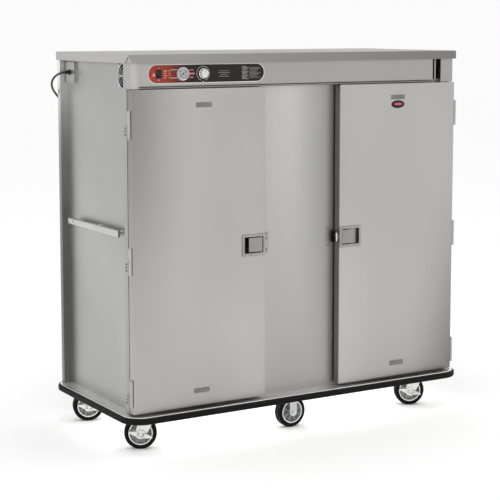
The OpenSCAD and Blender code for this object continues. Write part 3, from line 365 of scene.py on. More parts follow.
def stage():
    only(None)
    bpy.ops.mesh.primitive_plane_add(size=1, location=(0, 4, 0), scale=(1, 1, 1))
    floor = bpy.context.active_object
    floor.name = "studio_floor"
    floor.scale = (40, 34, 1)
    bpy.ops.object.transform_apply(location=True, rotation=True, scale=True)
    edit(floor)
    pick(floor, "EDGE", lambda e: all(v.co.y > 20 for v in e.verts))
    bpy.ops.mesh.extrude_region_move(TRANSFORM_OT_translate={"value": (0, 0, 14)})
    pick(floor, "EDGE", lambda e: all(v.co.y > 20 and v.co.z < 1 for v in e.verts))
    bevel(6, 12)
    done()
    bpy.ops.object.shade_smooth()
    paper = bpy.data.materials.new("studio_paper")
    paper.use_nodes = True
    shader = paper.node_tree.nodes["Principled BSDF"]
    shader.inputs["Base Color"].default_value = (0.975, 0.975, 0.975, 1)
    shader.inputs["Roughness"].default_value = 0.9
    shader.inputs["Specular IOR Level"].default_value = 0.1
    floor.data.materials.append(paper)

    world = bpy.data.worlds.new("studio_air")
    world.use_nodes = True
    world.node_tree.nodes["Background"].inputs["Color"].default_value = (1, 1, 1, 1)
    world.node_tree.nodes["Background"].inputs["Strength"].default_value = 1.0
    bpy.context.scene.world = world


def softbox(name, place, aim, size, power):
    only(None)
    place, aim = Vector(place), Vector(aim)
    bpy.ops.object.light_add(type="AREA", location=place,
        rotation=(aim - place).to_track_quat("-Z", "Y").to_euler())
    lamp = bpy.context.active_object
    lamp.name = name
    lamp.data.shape = "RECTANGLE"
    lamp.data.size, lamp.data.size_y = size
    lamp.data.energy = power


stage()
softbox("overhead_box", (0.5, -0.5, 5.5), (0, 0, 1), (5, 4), 60)
softbox("side_box", (-6.5, -0.5, 2.6), (-0.9, 0, 1), (2.4, 3), 30)
softbox("under_box", (0, 0, 0.156), (0, 0, 0), (1.86, 0.80), 4.2)
bpy.context.scene.view_settings.view_transform = "Standard"


# ---------------------------------------------------------------- finishes

class Bench:
    """Adds nodes to a tree; an input is a value or another node's output."""
    def __init__(self, tree):
        self.tree = tree

    def give(self, node, inputs):
        for key, value in inputs.items():
            if isinstance(value, bpy.types.NodeSocket):
                self.tree.links.new(value, node.inputs[key])
            else:
                node.inputs[key].default_value = value
        return node

    def add(self, kind, inputs=None, **settings):
        node = self.tree.nodes.new(kind)
        for key, value in settings.items():
            setattr(node, key, value)
        return self.give(node, inputs or {})

    def math(self, operation, a, b, clamp=False):
        return self.add("ShaderNodeMath", {0: a, 1: b}, operation=operation, use_clamp=clamp).outputs[0]

    def times(self, a, b):
        return self.math("MULTIPLY", a, b)

    def plus(self, a, b, clamp=False):
        return self.math("ADD", a, b, clamp)

    def vector(self, operation, *values):
        return self.add("ShaderNodeVectorMath", dict(enumerate(values)), operation=operation).outputs

    def place(self):
        return self.add("ShaderNodeTexCoord").outputs["Object"]

    def noise(self, place, scale, detail, roughness=0.5, distortion=0.0):
        return self.add("ShaderNodeTexNoise", {"Vector": place, "Scale": scale, "Detail": detail,
            "Roughness": roughness, "Distortion": distortion}).outputs[0]

    def span(self, value, low, high, to_low, to_high):
        return self.add("ShaderNodeMapRange", {"Value": value, "From Min": low, "From Max": high,
            "To Min": to_low, "To Max": to_high}, interpolation_type="SMOOTHSTEP").outputs[0]

    def blend(self, share, a, b):
        node = self.add("ShaderNodeMix", data_type="RGBA", blend_type="MIX")
        return self.give(node, {0: share, 6: a, 7: b}).outputs[2]

    def group(self, tree, **inputs):
        named = {key.replace("_", " ").capitalize(): value for key, value in inputs.items()}
        return self.add("ShaderNodeGroup", node_tree=tree, inputs=named).outputs


def new_group(name, inputs, outputs):
    tree = bpy.data.node_groups.new(name, "ShaderNodeTree")
    for key, kind, value in inputs:
        socket = tree.interface.new_socket(key, in_out="INPUT", socket_type=f"NodeSocket{kind}")
        socket.default_value = value
    for key, kind in outputs:
        tree.interface.new_socket(key, in_out="OUTPUT", socket_type=f"NodeSocket{kind}")
    given, out = tree.nodes.new("NodeGroupInput").outputs, tree.nodes.new("NodeGroupOutput").inputs
    return tree, Bench(tree), given, out


def make_grain():
    """Fine brush lines; Stretch is the number of noise cells per metre along each axis."""
    tree, bench, given, out = new_group("brushed_grain",
        [("Stretch", "Vector", (900, 900, 8)), ("Depth", "Float", 1.0)], [("Grain", "Float")])
    place = bench.place()
    stretched = bench.vector("MULTIPLY", place, given["Stretch"])[0]
    fine = bench.noise(stretched, 1.0, 3.0, 0.65)
    broad = bench.noise(stretched, 0.13, 1.0)
    both = bench.plus(bench.times(fine, 0.65), bench.times(broad, 0.35))
    centred = bench.times(bench.math("SUBTRACT", both, 0.5), given["Depth"])
    tree.links.new(bench.plus(centred, 0.5), out["Grain"])
    return tree


def make_tone():
    """Slow change of tone over a sheet, from 0 to 1."""
    tree, bench, given, out = new_group("sheet_tone",
        [("Stretch", "Vector", (1.5, 1.5, 0.8)), ("Tilt", "Float", 0.0)], [("Tone", "Float")])
    place = bench.place()
    tilted = bench.add("ShaderNodeVectorRotate", {"Vector": place, "Angle": given["Tilt"]},
        rotation_type="X_AXIS").outputs[0]
    slow = bench.noise(bench.vector("MULTIPLY", tilted, given["Stretch"])[0], 1.0, 2.0, 0.45)
    tree.links.new(bench.span(slow, 0.3, 0.7, 0, 1), out["Tone"])
    return tree


def make_marks():
    """Faint wiped smears and a few short rub marks."""
    tree, bench, given, out = new_group("handling_marks",
        [("Size", "Float", 0.12), ("Amount", "Float", 0.5)], [("Marks", "Float")])
    place = bench.place()
    cells = bench.math("DIVIDE", 1.0, given["Size"])
    smear = bench.noise(place, cells, 4.0, 0.6, 1.2)
    patch = bench.noise(place, bench.times(cells, 0.22), 1.0)
    both = bench.times(bench.span(smear, 0.48, 0.72, 0, 1), bench.span(patch, 0.45, 0.65, 0, 1))
    tree.links.new(bench.times(both, given["Amount"]), out["Marks"])
    return tree


def make_dust():
    """Light dust on what faces up, broken by a noise."""
    tree, bench, given, out = new_group("settled_dust",
        [("Amount", "Float", 0.4), ("Size", "Float", 0.03)], [("Dust", "Float")])
    up = bench.add("ShaderNodeSeparateXYZ",
        {0: bench.add("ShaderNodeNewGeometry").outputs["Normal"]}).outputs["Z"]
    place = bench.place()
    speck = bench.noise(place, bench.math("DIVIDE", 1.0, given["Size"]), 5.0, 0.7)
    lie = bench.times(bench.span(up, 0.45, 0.95, 0, 1), bench.span(speck, 0.35, 0.7, 0, 1))
    tree.links.new(bench.times(lie, given["Amount"]), out["Dust"])
    return tree


def make_skin():
    """Rounded edges, a height for the small relief, and a mask of the edges, used both for wear and for a
    painted edge highlight.
    """
    tree, bench, given, out = new_group("surface_skin",
        [("Edge radius", "Float", 0.001), ("Height", "Float", 0.5), ("Depth", "Float", 0.00002),
            ("Strength", "Float", 0.5)], [("Normal", "Vector"), ("Worn edge", "Float")])
    rounded = bench.add("ShaderNodeBevel", {"Radius": given["Edge radius"]}, samples=4).outputs[0]
    flat = bench.add("ShaderNodeNewGeometry").outputs["Normal"]
    meet = bench.vector("DOT_PRODUCT", rounded, flat)["Value"]
    tree.links.new(bench.span(meet, 0.995, 0.85, 0, 1), out["Worn edge"])
    bump = bench.add("ShaderNodeBump", {"Strength": given["Strength"], "Distance": given["Depth"],
        "Height": given["Height"], "Normal": rounded})
    tree.links.new(bump.outputs[0], out["Normal"])
    return tree


def make_light_patch():
    """Soft area round a place, for painted light and shade: 1 at its centre, 0 at its reach along each axis.
    """
    tree, bench, given, out = new_group("soft_patch",
        [("Centre", "Vector", (0, 0, 0)), ("Reach", "Vector", (1, 1, 1))], [("Patch", "Float")])
    place = bench.place()
    away = bench.vector("SUBTRACT", place, given["Centre"])[0]
    length = bench.vector("LENGTH", bench.vector("DIVIDE", away, given["Reach"])[0])["Value"]
    tree.links.new(bench.span(length, 0.0, 1.0, 1, 0), out["Patch"])
    return tree


GRAIN, TONE, MARKS = make_grain(), make_tone(), make_marks()
DUST, SKIN, LIGHT_PATCH = make_dust(), make_skin(), make_light_patch()
DUST_COLOUR = (0.62, 0.60, 0.56, 1)


def new_material(name):
    material = bpy.data.materials.new(name)
    material.use_nodes = True
    bench = Bench(material.node_tree)
    return material, bench, material.node_tree.nodes["Principled BSDF"]


def shade(colour, share):
    return (colour[0]*share, colour[1]*share, colour[2]*share, 1)


def steel(name, colour, roughness=0.34, stretch=(700, 700, 6), tone=(1.2, 1.2, 0.7), tilt=0.0,
        tone_depth=0.10, edge=0.0008, marks=0.35, dust=0.12, wave=0.0, light_and_shade=()):
    """Brushed sheet: grain, slow changes of tone, smears, edges lightened for wear and as a painted
    highlight, dust, and broad soft areas of painted light and shade.
    """
    material, bench, shader = new_material(name)
    grain = bench.group(GRAIN, stretch=stretch, depth=1.0)["Grain"]
    slow = bench.group(TONE, stretch=tone, tilt=tilt)["Tone"]
    smears = bench.group(MARKS, size=0.10, amount=marks)["Marks"]
    dusty = bench.group(DUST, amount=dust, size=0.02)["Dust"]
    height = grain
    if wave:
        swell = bench.group(TONE, stretch=(3.1, 3.1, 1.7), tilt=0.4)["Tone"]
        height = bench.plus(grain, bench.times(swell, wave))
    skin = bench.group(SKIN, edge_radius=edge, height=height, depth=0.00003, strength=0.35)
    base = bench.blend(slow, shade(colour, 1 - tone_depth), shade(colour, 1 + tone_depth*0.6))
    # Painted light and shade: each entry lightens or darkens the sheet softly round a place.
    for centre, reach, share in light_and_shade:
        soft = bench.group(LIGHT_PATCH, centre=centre, reach=reach)["Patch"]
        base = bench.blend(soft, base, shade(colour, share))
    base = bench.blend(bench.times(grain, 0.22), base, shade(colour, 0.72))
    base = bench.blend(bench.times(smears, 0.25), base, shade(colour, 0.86))
    # Edges blended towards near white: partly wear, partly a painted edge highlight.
    base = bench.blend(bench.times(skin["Worn edge"], 0.5), base, (0.86, 0.86, 0.85, 1))
    base = bench.blend(dusty, base, DUST_COLOUR)
    rough = bench.plus(bench.times(grain, 0.16), roughness - 0.08)
    rough = bench.plus(rough, bench.times(smears, 0.10))
    rough = bench.plus(rough, bench.times(dusty, 0.35), clamp=True)
    bench.give(shader, {"Base Color": base, "Roughness": rough, "Normal": skin["Normal"], "Metallic": 1.0})
    return material


def moulded(name, colour, roughness=0.5, stretch=(300, 300, 300), depth=0.00006,
        edge=0.0006, worn_and_sheen=None, marks=0.4, dust=0.3, specular=0.5):
    """Rubber, vinyl and plastic: fine texture, edges lightened for wear and as a painted highlight, dust."""
    material, bench, shader = new_material(name)
    grain = bench.group(GRAIN, stretch=stretch, depth=1.0)["Grain"]
    slow = bench.group(TONE, stretch=(6, 6, 6), tilt=0.3)["Tone"]
    rubbed = bench.group(MARKS, size=0.05, amount=marks)["Marks"]
    dusty = bench.group(DUST, amount=dust, size=0.012)["Dust"]
    skin = bench.group(SKIN, edge_radius=edge, height=grain, depth=depth, strength=0.5)
    base = bench.blend(slow, shade(colour, 0.85), shade(colour, 1.15))
    # Edges lightened: partly wear, partly a painted edge highlight.
    base = bench.blend(bench.times(skin["Worn edge"], 0.35), base, worn_and_sheen or shade(colour, 2.2))
    base = bench.blend(bench.times(rubbed, 0.3), base, worn_and_sheen or shade(colour, 1.8))
    base = bench.blend(bench.times(dusty, 0.6), base, DUST_COLOUR)
    rough = bench.plus(bench.times(grain, 0.14), roughness - 0.07)
    rough = bench.plus(rough, bench.times(rubbed, 0.15), clamp=True)
    bench.give(shader, {"Base Color": base, "Roughness": rough, "Normal": skin["Normal"],
        "Specular IOR Level": specular})
    return material


WARM = (0.50, 0.492, 0.472)
# Painted reflection and shade on the doors: darker towards the bottom right and the top left, a little darker
# over the right door's middle, and a painted shaded strip on the right door's free edge.
door_steel = steel("brushed_door_sheet", WARM, roughness=0.36, wave=6.0, light_and_shade=(
    ((1.05, -0.39, 0.06), (0.90, 2, 1.35), 0.24), ((-0.98, -0.39, 1.70), (0.42, 2, 1.5), 0.50),
    ((0.60, -0.39, 0.9), (0.45, 2, 1.6), 0.93), ((0.2125, -0.37, 0.9), (0.003, 0.06, 9), 0.45)))
# The tilted, stretched slow tone paints diagonal reflection streaks across the side sheets.
side_steel = steel("brushed_side_sheet", (0.455, 0.457, 0.452), roughness=0.38, tone=(1.5, 2.6, 0.9),
    tilt=0.8, tone_depth=0.08, wave=3.0)
# Painted reflection on the middle sheet: lighter at the top, darker towards the right and towards the bottom.
middle_steel = steel("brushed_middle_sheet", (0.50, 0.495, 0.48), roughness=0.38, light_and_shade=(
    ((-0.06, -0.345, 1.7), (0.24, 0.2, 1.2), 1.14), ((0.26, -0.345, 0.9), (0.30, 0.2, 9), 0.66),
    ((-0.05, -0.345, 0.1), (0.5, 0.2, 0.9), 0.76)))
# Painted reflection on the rear post: a bright painted highlight up top and painted shade lower down.
post_steel = steel("brushed_post_sheet", (0.42, 0.42, 0.415), roughness=0.38, light_and_shade=(
    ((-0.897, 0.385, 1.78), (0.20, 0.20, 0.50), 2.35), ((-0.897, 0.385, 0.62), (0.10, 0.06, 1.5), 0.35)))
# Painted highlight along the cover's left edge, and painted shade on its front lip.
cover_steel = steel("brushed_cover_sheet", (0.33, 0.325, 0.31), stretch=(8, 700, 700), roughness=0.4,
    dust=0.25, light_and_shade=(((-0.927, 0.0, 1.81), (0.006, 9, 0.2), 1.75),
    ((0.95, -0.396, 1.81), (1.5, 0.006, 0.2), 0.62)))
# Painted highlight on the fascia's left end, and painted shade towards its right.
fascia_steel = steel("brushed_fascia_sheet", (0.43, 0.425, 0.405), stretch=(10, 700, 700), roughness=0.36,
    light_and_shade=(((-0.892, -0.375, 1.74), (0.035, 0.2, 0.3), 1.28), ((0.7, -0.375, 1.74), (0.9, 0.2, 0.3), 0.90)))
inner_steel = steel("inner_sheet", (0.46, 0.46, 0.46), roughness=0.42, marks=0.5, dust=0.3)
# The deck's base is set lighter than the other sheets to lift the shade on its ledge; painted shadow under
# both doors along the front and at the front right corner.
deck_steel = steel("deck_sheet", (0.86, 0.86, 0.84), light_and_shade=(
    ((0.93, -0.37, 0.19), (0.16, 0.055, 0.1), 0.25), ((-0.55, -0.395, 0.18), (0.50, 0.045, 0.1), 0.08),
    ((0.58, -0.395, 0.18), (0.52, 0.045, 0.1), 0.08)), stretch=(12, 500, 500), roughness=0.42, dust=0.35)
latch_steel = steel("latch_plate", (0.37, 0.365, 0.35), roughness=0.34, stretch=(300, 300, 12),
    tone=(9, 9, 9), edge=0.0006, marks=0.6)
paddle_steel = steel("latch_paddle", (0.325, 0.32, 0.29), roughness=0.36, stretch=(300, 300, 12),
    tone=(9, 9, 9), edge=0.0006, marks=0.7)
hinge_steel = steel("hinge_plate", (0.46, 0.46, 0.45), roughness=0.34, stretch=(300, 300, 20),
    tone=(9, 9, 9), edge=0.0006, marks=0.6)
# Near-black steel for the left latch recess is painted shade; the right recess gets the latch plate's steel.
cup_shade_steel = steel("latch_recess", (0.06, 0.06, 0.058), roughness=0.5, stretch=(200, 200, 200),
    tone=(20, 20, 20), edge=0.0006, marks=0.6)
handle_steel = steel("push_handle", (0.60, 0.60, 0.59), roughness=0.26, stretch=(300, 10, 300),
    tone=(3, 3, 3), edge=0.0008, marks=0.6)
roller_steel = steel("strike_roller", (0.50, 0.50, 0.49), roughness=0.42, stretch=(300, 300, 20),
    tone=(20, 20, 20), edge=0.0004, marks=0.6)
dull_plate = steel("bare_plate", (0.22, 0.22, 0.21), roughness=0.42, stretch=(200, 200, 200),
    tone=(30, 30, 30), edge=0.0004, marks=0.5)
dark_steel = steel("dark_screw", (0.16, 0.16, 0.16), roughness=0.4, stretch=(300, 300, 300),
    tone=(30, 30, 30), edge=0.0003, marks=0.6)
bright_steel = steel("polished_steel", (0.74, 0.74, 0.735), roughness=0.2, stretch=(260, 260, 260),
    tone=(9, 9, 9), edge=0.0005, marks=0.6)
rail_steel = steel("polished_rail", (0.82, 0.82, 0.815), roughness=0.16, stretch=(20, 20, 400),
    tone=(4, 4, 4), edge=0.0006, marks=0.5)
zinc = steel("zinc_plate", (0.66, 0.665, 0.68), roughness=0.3, stretch=(180, 180, 180), tone=(14, 14, 14),
    tone_depth=0.14, edge=0.0008, marks=0.7, dust=0.3)
galvanised = steel("galvanised_sheet", (0.5, 0.51, 0.52), roughness=0.42, stretch=(60, 60, 60),
    tone=(25, 25, 25), tone_depth=0.2, marks=0.6, dust=0.4)
core_grey = moulded("grey_wheel_core", (0.30, 0.305, 0.30), roughness=0.42, worn_and_sheen=(0.5, 0.5, 0.5, 1),
    dust=0.15)
fork_zinc = steel("fork_zinc", (0.80, 0.80, 0.79), roughness=0.34, stretch=(180, 180, 180),
    tone=(14, 14, 14), tone_depth=0.08, edge=0.0008, marks=0.5, dust=0.1)
rim_steel = steel("bright_rim", (0.8, 0.8, 0.8), roughness=0.2, stretch=(150, 150, 150), tone=(12, 12, 12),
    marks=0.4)
lever_white = moulded("pale_lever", (0.74, 0.74, 0.73), roughness=0.35, worn_and_sheen=(0.45, 0.45, 0.46, 1), dust=0.2)
vinyl = moulded("bumper_vinyl", (0.0055, 0.0055, 0.0052), roughness=0.55, stretch=(18, 18, 900),
    depth=0.00010, worn_and_sheen=(0.02, 0.02, 0.019, 1), dust=0.03, marks=0.2, specular=0.12)
tread = moulded("tyre_rubber", (0.0045, 0.0045, 0.0043), roughness=0.6, worn_and_sheen=(0.014, 0.0135, 0.013, 1),
    marks=0.4, dust=0.03, edge=0.0012, specular=0.10)
rubber = moulded("gasket_rubber", (0.03, 0.03, 0.031), roughness=0.6, worn_and_sheen=(0.08, 0.08, 0.08, 1), dust=0.2)
black_plastic = moulded("black_plastic", (0.012, 0.012, 0.012), roughness=0.42, worn_and_sheen=(0.05, 0.05, 0.05, 1),
    dust=0.08, marks=0.3, specular=0.3)
red_plastic = moulded("red_needle", (0.5, 0.03, 0.02), roughness=0.4, worn_and_sheen=(0.6, 0.1, 0.08, 1), dust=0.0)
red_plate = moulded("dark_red_plate", (0.045, 0.005, 0.009), roughness=0.45, worn_and_sheen=(0.3, 0.1, 0.08, 1),
    dust=0.02, marks=0.2, specular=0.25)
PRINT = dict(roughness=0.45, depth=0.00001, dust=0.05)
print_pink = moulded("pink_print", (0.50, 0.13, 0.17), worn_and_sheen=(0.5, 0.2, 0.2, 1), **PRINT)
print_grey = moulded("grey_print", (0.34, 0.34, 0.32), worn_and_sheen=(0.25, 0.25, 0.24, 1), **PRINT)
foam = moulded("yellow_foam", (0.62, 0.52, 0.3), roughness=0.9, stretch=(250, 250, 250), depth=0.0008,
    worn_and_sheen=(0.7, 0.6, 0.38, 1), specular=0.2)
print_white = moulded("white_print", (0.72, 0.71, 0.68), worn_and_sheen=(0.6, 0.6, 0.58, 1), **PRINT)
print_orange = moulded("orange_print", (0.75, 0.32, 0.16), worn_and_sheen=(0.6, 0.4, 0.3, 1), **PRINT)
dial_face = moulded("dial_card", (0.60, 0.61, 0.62), roughness=0.5, depth=0.00001, worn_and_sheen=(0.6, 0.6, 0.6, 1),
    dust=0.0)
dial_ink = moulded("dial_ink", (0.03, 0.03, 0.03), roughness=0.5, depth=0.00001, dust=0.0)


def make_overlay_film():
    """Screen-printed film: red at the left end, deepening to black past the thermometer."""
    material, bench, shader = new_material("overlay_film")
    place = bench.add("ShaderNodeSeparateXYZ", {0: bench.place()}).outputs
    length = overlay_high.x - overlay_low.x
    fade = bench.span(place["X"], overlay_low.x + 0.04, overlay_low.x + 0.36*length, 0, 1)
    pebble = bench.group(GRAIN, stretch=(1500, 1500, 1500), depth=1.0)["Grain"]
    slow = bench.group(TONE, stretch=(7, 7, 7), tilt=0.0)["Tone"]
    marks = bench.group(MARKS, size=0.05, amount=0.5)["Marks"]
    skin = bench.group(SKIN, edge_radius=0.0004, height=pebble, depth=0.00002, strength=0.3)
    base = bench.blend(fade, (0.36, 0.045, 0.028, 1), (0.011, 0.010, 0.008, 1))
    base = bench.blend(bench.times(slow, 0.12), base, (0.05, 0.02, 0.02, 1))
    base = bench.blend(bench.times(marks, 0.08), base, (0.1, 0.09, 0.08, 1))
    rough = bench.plus(bench.times(pebble, 0.12), bench.plus(0.26, bench.times(marks, 0.2)))
    bench.give(shader, {"Base Color": base, "Roughness": rough, "Normal": skin["Normal"],
        "Specular IOR Level": 0.25})
    return material


def make_lens():
    material, bench, shader = new_material("dial_lens")
    marks = bench.group(MARKS, size=0.02, amount=0.4)["Marks"]
    rough = bench.plus(bench.times(marks, 0.2), 0.04)
    bench.give(shader, {"Base Color": (0.95, 0.96, 0.96, 1), "Roughness": rough, "IOR": 1.3,
        "Transmission Weight": 1.0})
    return material


overlay_film = make_overlay_film()
lens_glass = make_lens()

FINISHES = {"base_frame": deck_steel, "bumper": vinyl, "bumper_rail": rail_steel, "side_panels": side_steel,
    "back_panel": side_steel, "top_cover": cover_steel, "cabinet_frame": post_steel,
    "centre_panel": middle_steel, "control_fascia": fascia_steel, "liner": inner_steel, "insulation": foam,
    "shelves": inner_steel, "control_overlay": overlay_film, "switch_rocker": black_plastic,
    "thermometer_needle": red_plastic, "thermostat_knob": bright_steel, "push_handles": bright_steel,
    "fan_frame": black_plastic, "fan_rotor": black_plastic, "frame_hardware": hinge_steel,
    "panel_fittings": black_plastic, "heater_unit": galvanised, "blower_wheel": galvanised,
    "strain_relief": black_plastic, "cord": rubber, "cord_coil": rubber, "plug": rubber,
    "caster_mounts": zinc}
for side in ("left", "right"):
    FINISHES.update({f"{side}_door_shell": door_steel, f"{side}_door_liner": inner_steel,
        f"{side}_door_gasket": rubber, f"{side}_door_hinges": bright_steel,
        f"{side}_latch_pan": bright_steel, f"{side}_paddle": bright_steel})
for name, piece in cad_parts.items():
    kind = name.split("_")[0]
    finish = FINISHES.get(name) or {"fork": zinc, "brake": lever_white, "core": core_grey,
        "tyre": tread}[kind]
    for place in piece.material_slots:
        place.material = finish

# ---------------------------------------------------------------- plug and coil tie

def plug_body():
    """Moulded plug, its blades and ribbed strain relief, on the origin with the blades along +X."""
    body = turned("plug_body", [(0, 0.0105), (0.0105, 0.0108), (0.0125, 0.0150), (0.0165, 0.0170),
        (0.0175, 0.0200), (0.0172, 0.0270), (0.0160, 0.0300),
        (0.0175, 0.0335), (0.0175, 0.0385), (0.0165, 0.0398), (0, 0.0400)], 48)
    ribs = [turned("rib", [(0.0050, 0.0004 + 0.0036*i), (0.0070 + 0.0006*i, 0.0006 + 0.0036*i),
        (0.0072 + 0.0006*i, 0.0022 + 0.0036*i), (0.0050, 0.0026 + 0.0036*i)], 28) for i in range(4)]
    sleeve = turned("sleeve", [(0.0054, -0.0002), (0.0060, 0.0), (0.0085, 0.0130), (0.0054, 0.0130)], 28)
    moulding = put(join("plug_moulding", [body, sleeve] + ribs), (0, 0, 0), TO_RIGHT)
    blades = []
    for s in (-1, 1):
        blade = block("blade", (0.0395, s*0.0064 - 0.00075, -0.003), (0.0560, s*0.0064 + 0.00075, 0.003))
        ease(blade, 0.0004)
        blades.append(blade)
    ground = turned("ground", [(0, 0.0395), (0.0024, 0.0395), (0.0024, 0.0560), (0.0016, 0.0575),
        (0, 0.0580)], 24)
    blades.append(put(ground, (0, 0, -0.009), TO_RIGHT))
    return moulding, join("plug_blades", blades)


TIE_ANGLE = math.radians(300)
PLUG = Vector((COIL.x - 0.033, COIL.y + 0.066, 0.0175))
moulding, blades = plug_body()
for piece, finish, slot_name in ((moulding, black_plastic, "black_rubber"),
        (blades, bright_steel, "bright_steel")):
    put(piece, PLUG, HALF_TURN)
    fit(piece, "cabinet", finish, ["plug"])

outer = [(-0.0128, 0.0002), (-0.0128, 0.0076), (-0.0062, 0.0211), (0.0062, 0.0211), (0.0128, 0.0076),
    (0.0128, 0.0002)]
inner = [(0.0112, 0.0002), (0.0112, 0.0074), (0.0054, 0.0200), (-0.0054, 0.0200), (-0.0112, 0.0074),
    (-0.0112, 0.0002)]
tie = outline_plate("coil_tie", outer + inner, -0.004, 0.008)
put(tie, COIL + 0.058*Vector((math.cos(TIE_ANGLE), math.sin(TIE_ANGLE), 0)), Euler((0, 0, TIE_ANGLE)))
fit(tie, "cabinet", rubber)

# ---------------------------------------------------------------- cord in its coil

curve = bpy.data.curves.new("mains_cord", "CURVE")
curve.dimensions = "3D"
spline = curve.splines.new("NURBS")
points = cord_points()
spline.points.add(len(points) - 1)
for point, place in zip(spline.points, points):
    point.co = (*place, 1)
spline.order_u = 4
spline.use_endpoint_u = True
spline.resolution_u = 4
curve.bevel_depth = CORD_D/2
curve.bevel_resolution = 3
curve.use_fill_caps = True
mains_cord = bpy.data.objects.new("mains_cord", curve)
bpy.context.collection.objects.link(mains_cord)
curve.materials.append(rubber)
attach(mains_cord, "cabinet")
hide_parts("cord", "cord_coil")


# ---------------------------------------------------------------- screws

def pan_screw(name, radius, height):
    """Cross-head screw on the origin, its head up."""
    head = turned(name, [(0, 0), (radius, 0), (radius, height*0.35), (radius*0.86, height*0.75),
        (radius*0.5, height), (0, height)], 20)
    cut(head, block("slot_a", (-radius*0.6, -radius*0.11, height*0.45), (radius*0.6, radius*0.11, height*2)),
        block("slot_b", (-radius*0.11, -radius*0.6, height*0.45), (radius*0.11, radius*0.6, height*2)))
    return head


def bolt(name, radius, height):
    """Hexagon head on a washer, on the origin, its head up."""
    head = round_bar("hexagon", (0, 0, height*0.2), (0, 0, height), radius, sides=6)
    ease(head, height*0.12, 2, lambda e: all(v.co.z > height*0.9 for v in e.verts))
    washer = turned("washer", [(0, 0), (radius*1.25, 0), (radius*1.25, height*0.15),
        (radius*1.2, height*0.22), (0, height*0.22)], 24)
    return join(name, [head, washer])


small_screw = pan_screw("small_screw", 0.0036, 0.0016)
big_screw = pan_screw("big_screw", 0.0065, 0.0030)
hex_bolt = bolt("hex_bolt", 0.0085, 0.0065)

# ---------------------------------------------------------------- doors and latches

LATCH_Z, RECESS = 0.930, 0.028
PIVOT_X, STRIKE_X = -0.232, -0.204


def door_pan():
    low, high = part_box("left_door_shell")
    pan = folded_pan("left_door_pan", low, high, Vector((0, 1, 0)), 0.0030)
    cut(pan, slab("latch_hole", latch_x, LATCH_Z, 0.0545, 0.042, low.y - 0.001, low.y + 0.005),
        block("nose_hole", (-0.218, low.y + 0.004, LATCH_Z - 0.013),
        (-0.208, low.y + 0.030, LATCH_Z + 0.013)))
    return pan


def latch_body():
    """Flange round the hand recess, and the recess pressed in behind it."""
    mid, front = latch_x, door_front
    flange = slab("flange", mid, LATCH_Z, 0.064, 0.051, front - 0.003, front)
    round_front(flange, front - 0.0025, 0.007, 5, 0.0009, 3)
    opening = lambda: slab("opening", mid, LATCH_Z, 0.0515, 0.039, front - 0.02, front + 0.02)
    cut(flange, opening())
    dish = slab("dish", mid, LATCH_Z, 0.0535, 0.041, front - 0.0025, front + RECESS)
    edit(dish)
    pick(dish, "FACE", lambda f: f.normal.y < -0.9)
    bpy.ops.mesh.delete(type="FACE")
    pick(dish, "EDGE", lambda e: not e.is_boundary)
    bevel(0.005, 4)
    done()
    apply(dish, "SOLIDIFY", thickness=0.002, offset=-1)
    cut(dish, block("nose_hole", (-0.232, front + 0.004, LATCH_Z - 0.012),
        (-0.208, front + 0.024, LATCH_Z + 0.012)))
    pin = round_bar("pin", (PIVOT_X, front + 0.0025, LATCH_Z - 0.040),
        (PIVOT_X, front + 0.0025, LATCH_Z + 0.040), 0.0025, sides=16)
    seal = slab("left_latch_seal", mid, LATCH_Z, 0.0650, 0.0520, front - 0.0006, front + 0.0002)
    ease(seal, 0.0078, 5, along(Y, 0.0005))
    cut(seal, opening())
    return join("left_latch_body", [flange, pin]), dish, seal


def latch_paddle():
    """Pull with a raised rim round its sunk field, its hub, nose and finger lip."""
    pivot, front = PIVOT_X, door_front
    face = block("paddle_face", (pivot - 0.072, front - 0.0015, LATCH_Z - 0.034),
        (pivot + 0.002, front + 0.0025, LATCH_Z + 0.034))
    round_front(face, front - 0.001, 0.004, 4, 0.0008, 2)
    field = block("field", (pivot - 0.0675, front - 0.01, LATCH_Z - 0.0295),
        (pivot - 0.0025, front - 0.0003, LATCH_Z + 0.0295))
    ease(field, 0.0025, 3, along(Y))
    cut(face, field)
    hub = round_bar("hub", (pivot, front + 0.0025, LATCH_Z - 0.031),
        (pivot, front + 0.0025, LATCH_Z + 0.031), 0.0046, sides=24)
    hook = ((-0.003, 0), (0.003, 0), (0.008, 0.005), (0.018, 0.006), (0.021, 0.008), (0.021, 0.010),
        (0.006, 0.010), (-0.003, 0.005))
    nose = outline_plate("nose", [(pivot + u, front + 0.0025 + v) for u, v in hook], LATCH_Z - 0.011, 0.022,
        PLAN)
    ease(nose, 0.0005)
    lip = block("lip", (pivot - 0.072, front + 0.0020, LATCH_Z - 0.028),
        (pivot - 0.069, front + 0.0115, LATCH_Z + 0.028))
    ease(lip, 0.0008)
    return join("left_latch_paddle", [face, hub, nose, lip])


def strike():
    """Screwed plate on the middle sheet, and the black housing that holds its roller between two lugs."""
    x, y, back = STRIKE_X, door_front + 0.011, PANEL_Y
    plate = block("left_strike_plate", (x - 0.006, back - 0.0012, LATCH_Z - 0.050),
        (x + 0.038, back, LATCH_Z + 0.050))
    ease(plate, 0.0050, 4, along(Y))
    screws = join("left_strike_screws", [copy_to(small_screw, (x + 0.027, back - 0.0010, LATCH_Z + z),
        TO_FRONT) for z in (-0.042, 0.042)])
    housing = block("housing", (x - 0.007, back - 0.0024, LATCH_Z - 0.030),
        (x + 0.010, back, LATCH_Z + 0.030))
    ease(housing, 0.0008)
    parts = [housing]
    for z in (LATCH_Z - 0.026, LATCH_Z + 0.022):
        parts.append(hull_of("lug", [round_bar("eye", (x, y, z), (x, y, z + 0.004), 0.005, sides=24),
            block("root", (x - 0.005, back - 0.004, z), (x + 0.005, back - 0.0025, z + 0.004))]))
    return plate, screws, join("left_strike_housing", parts)


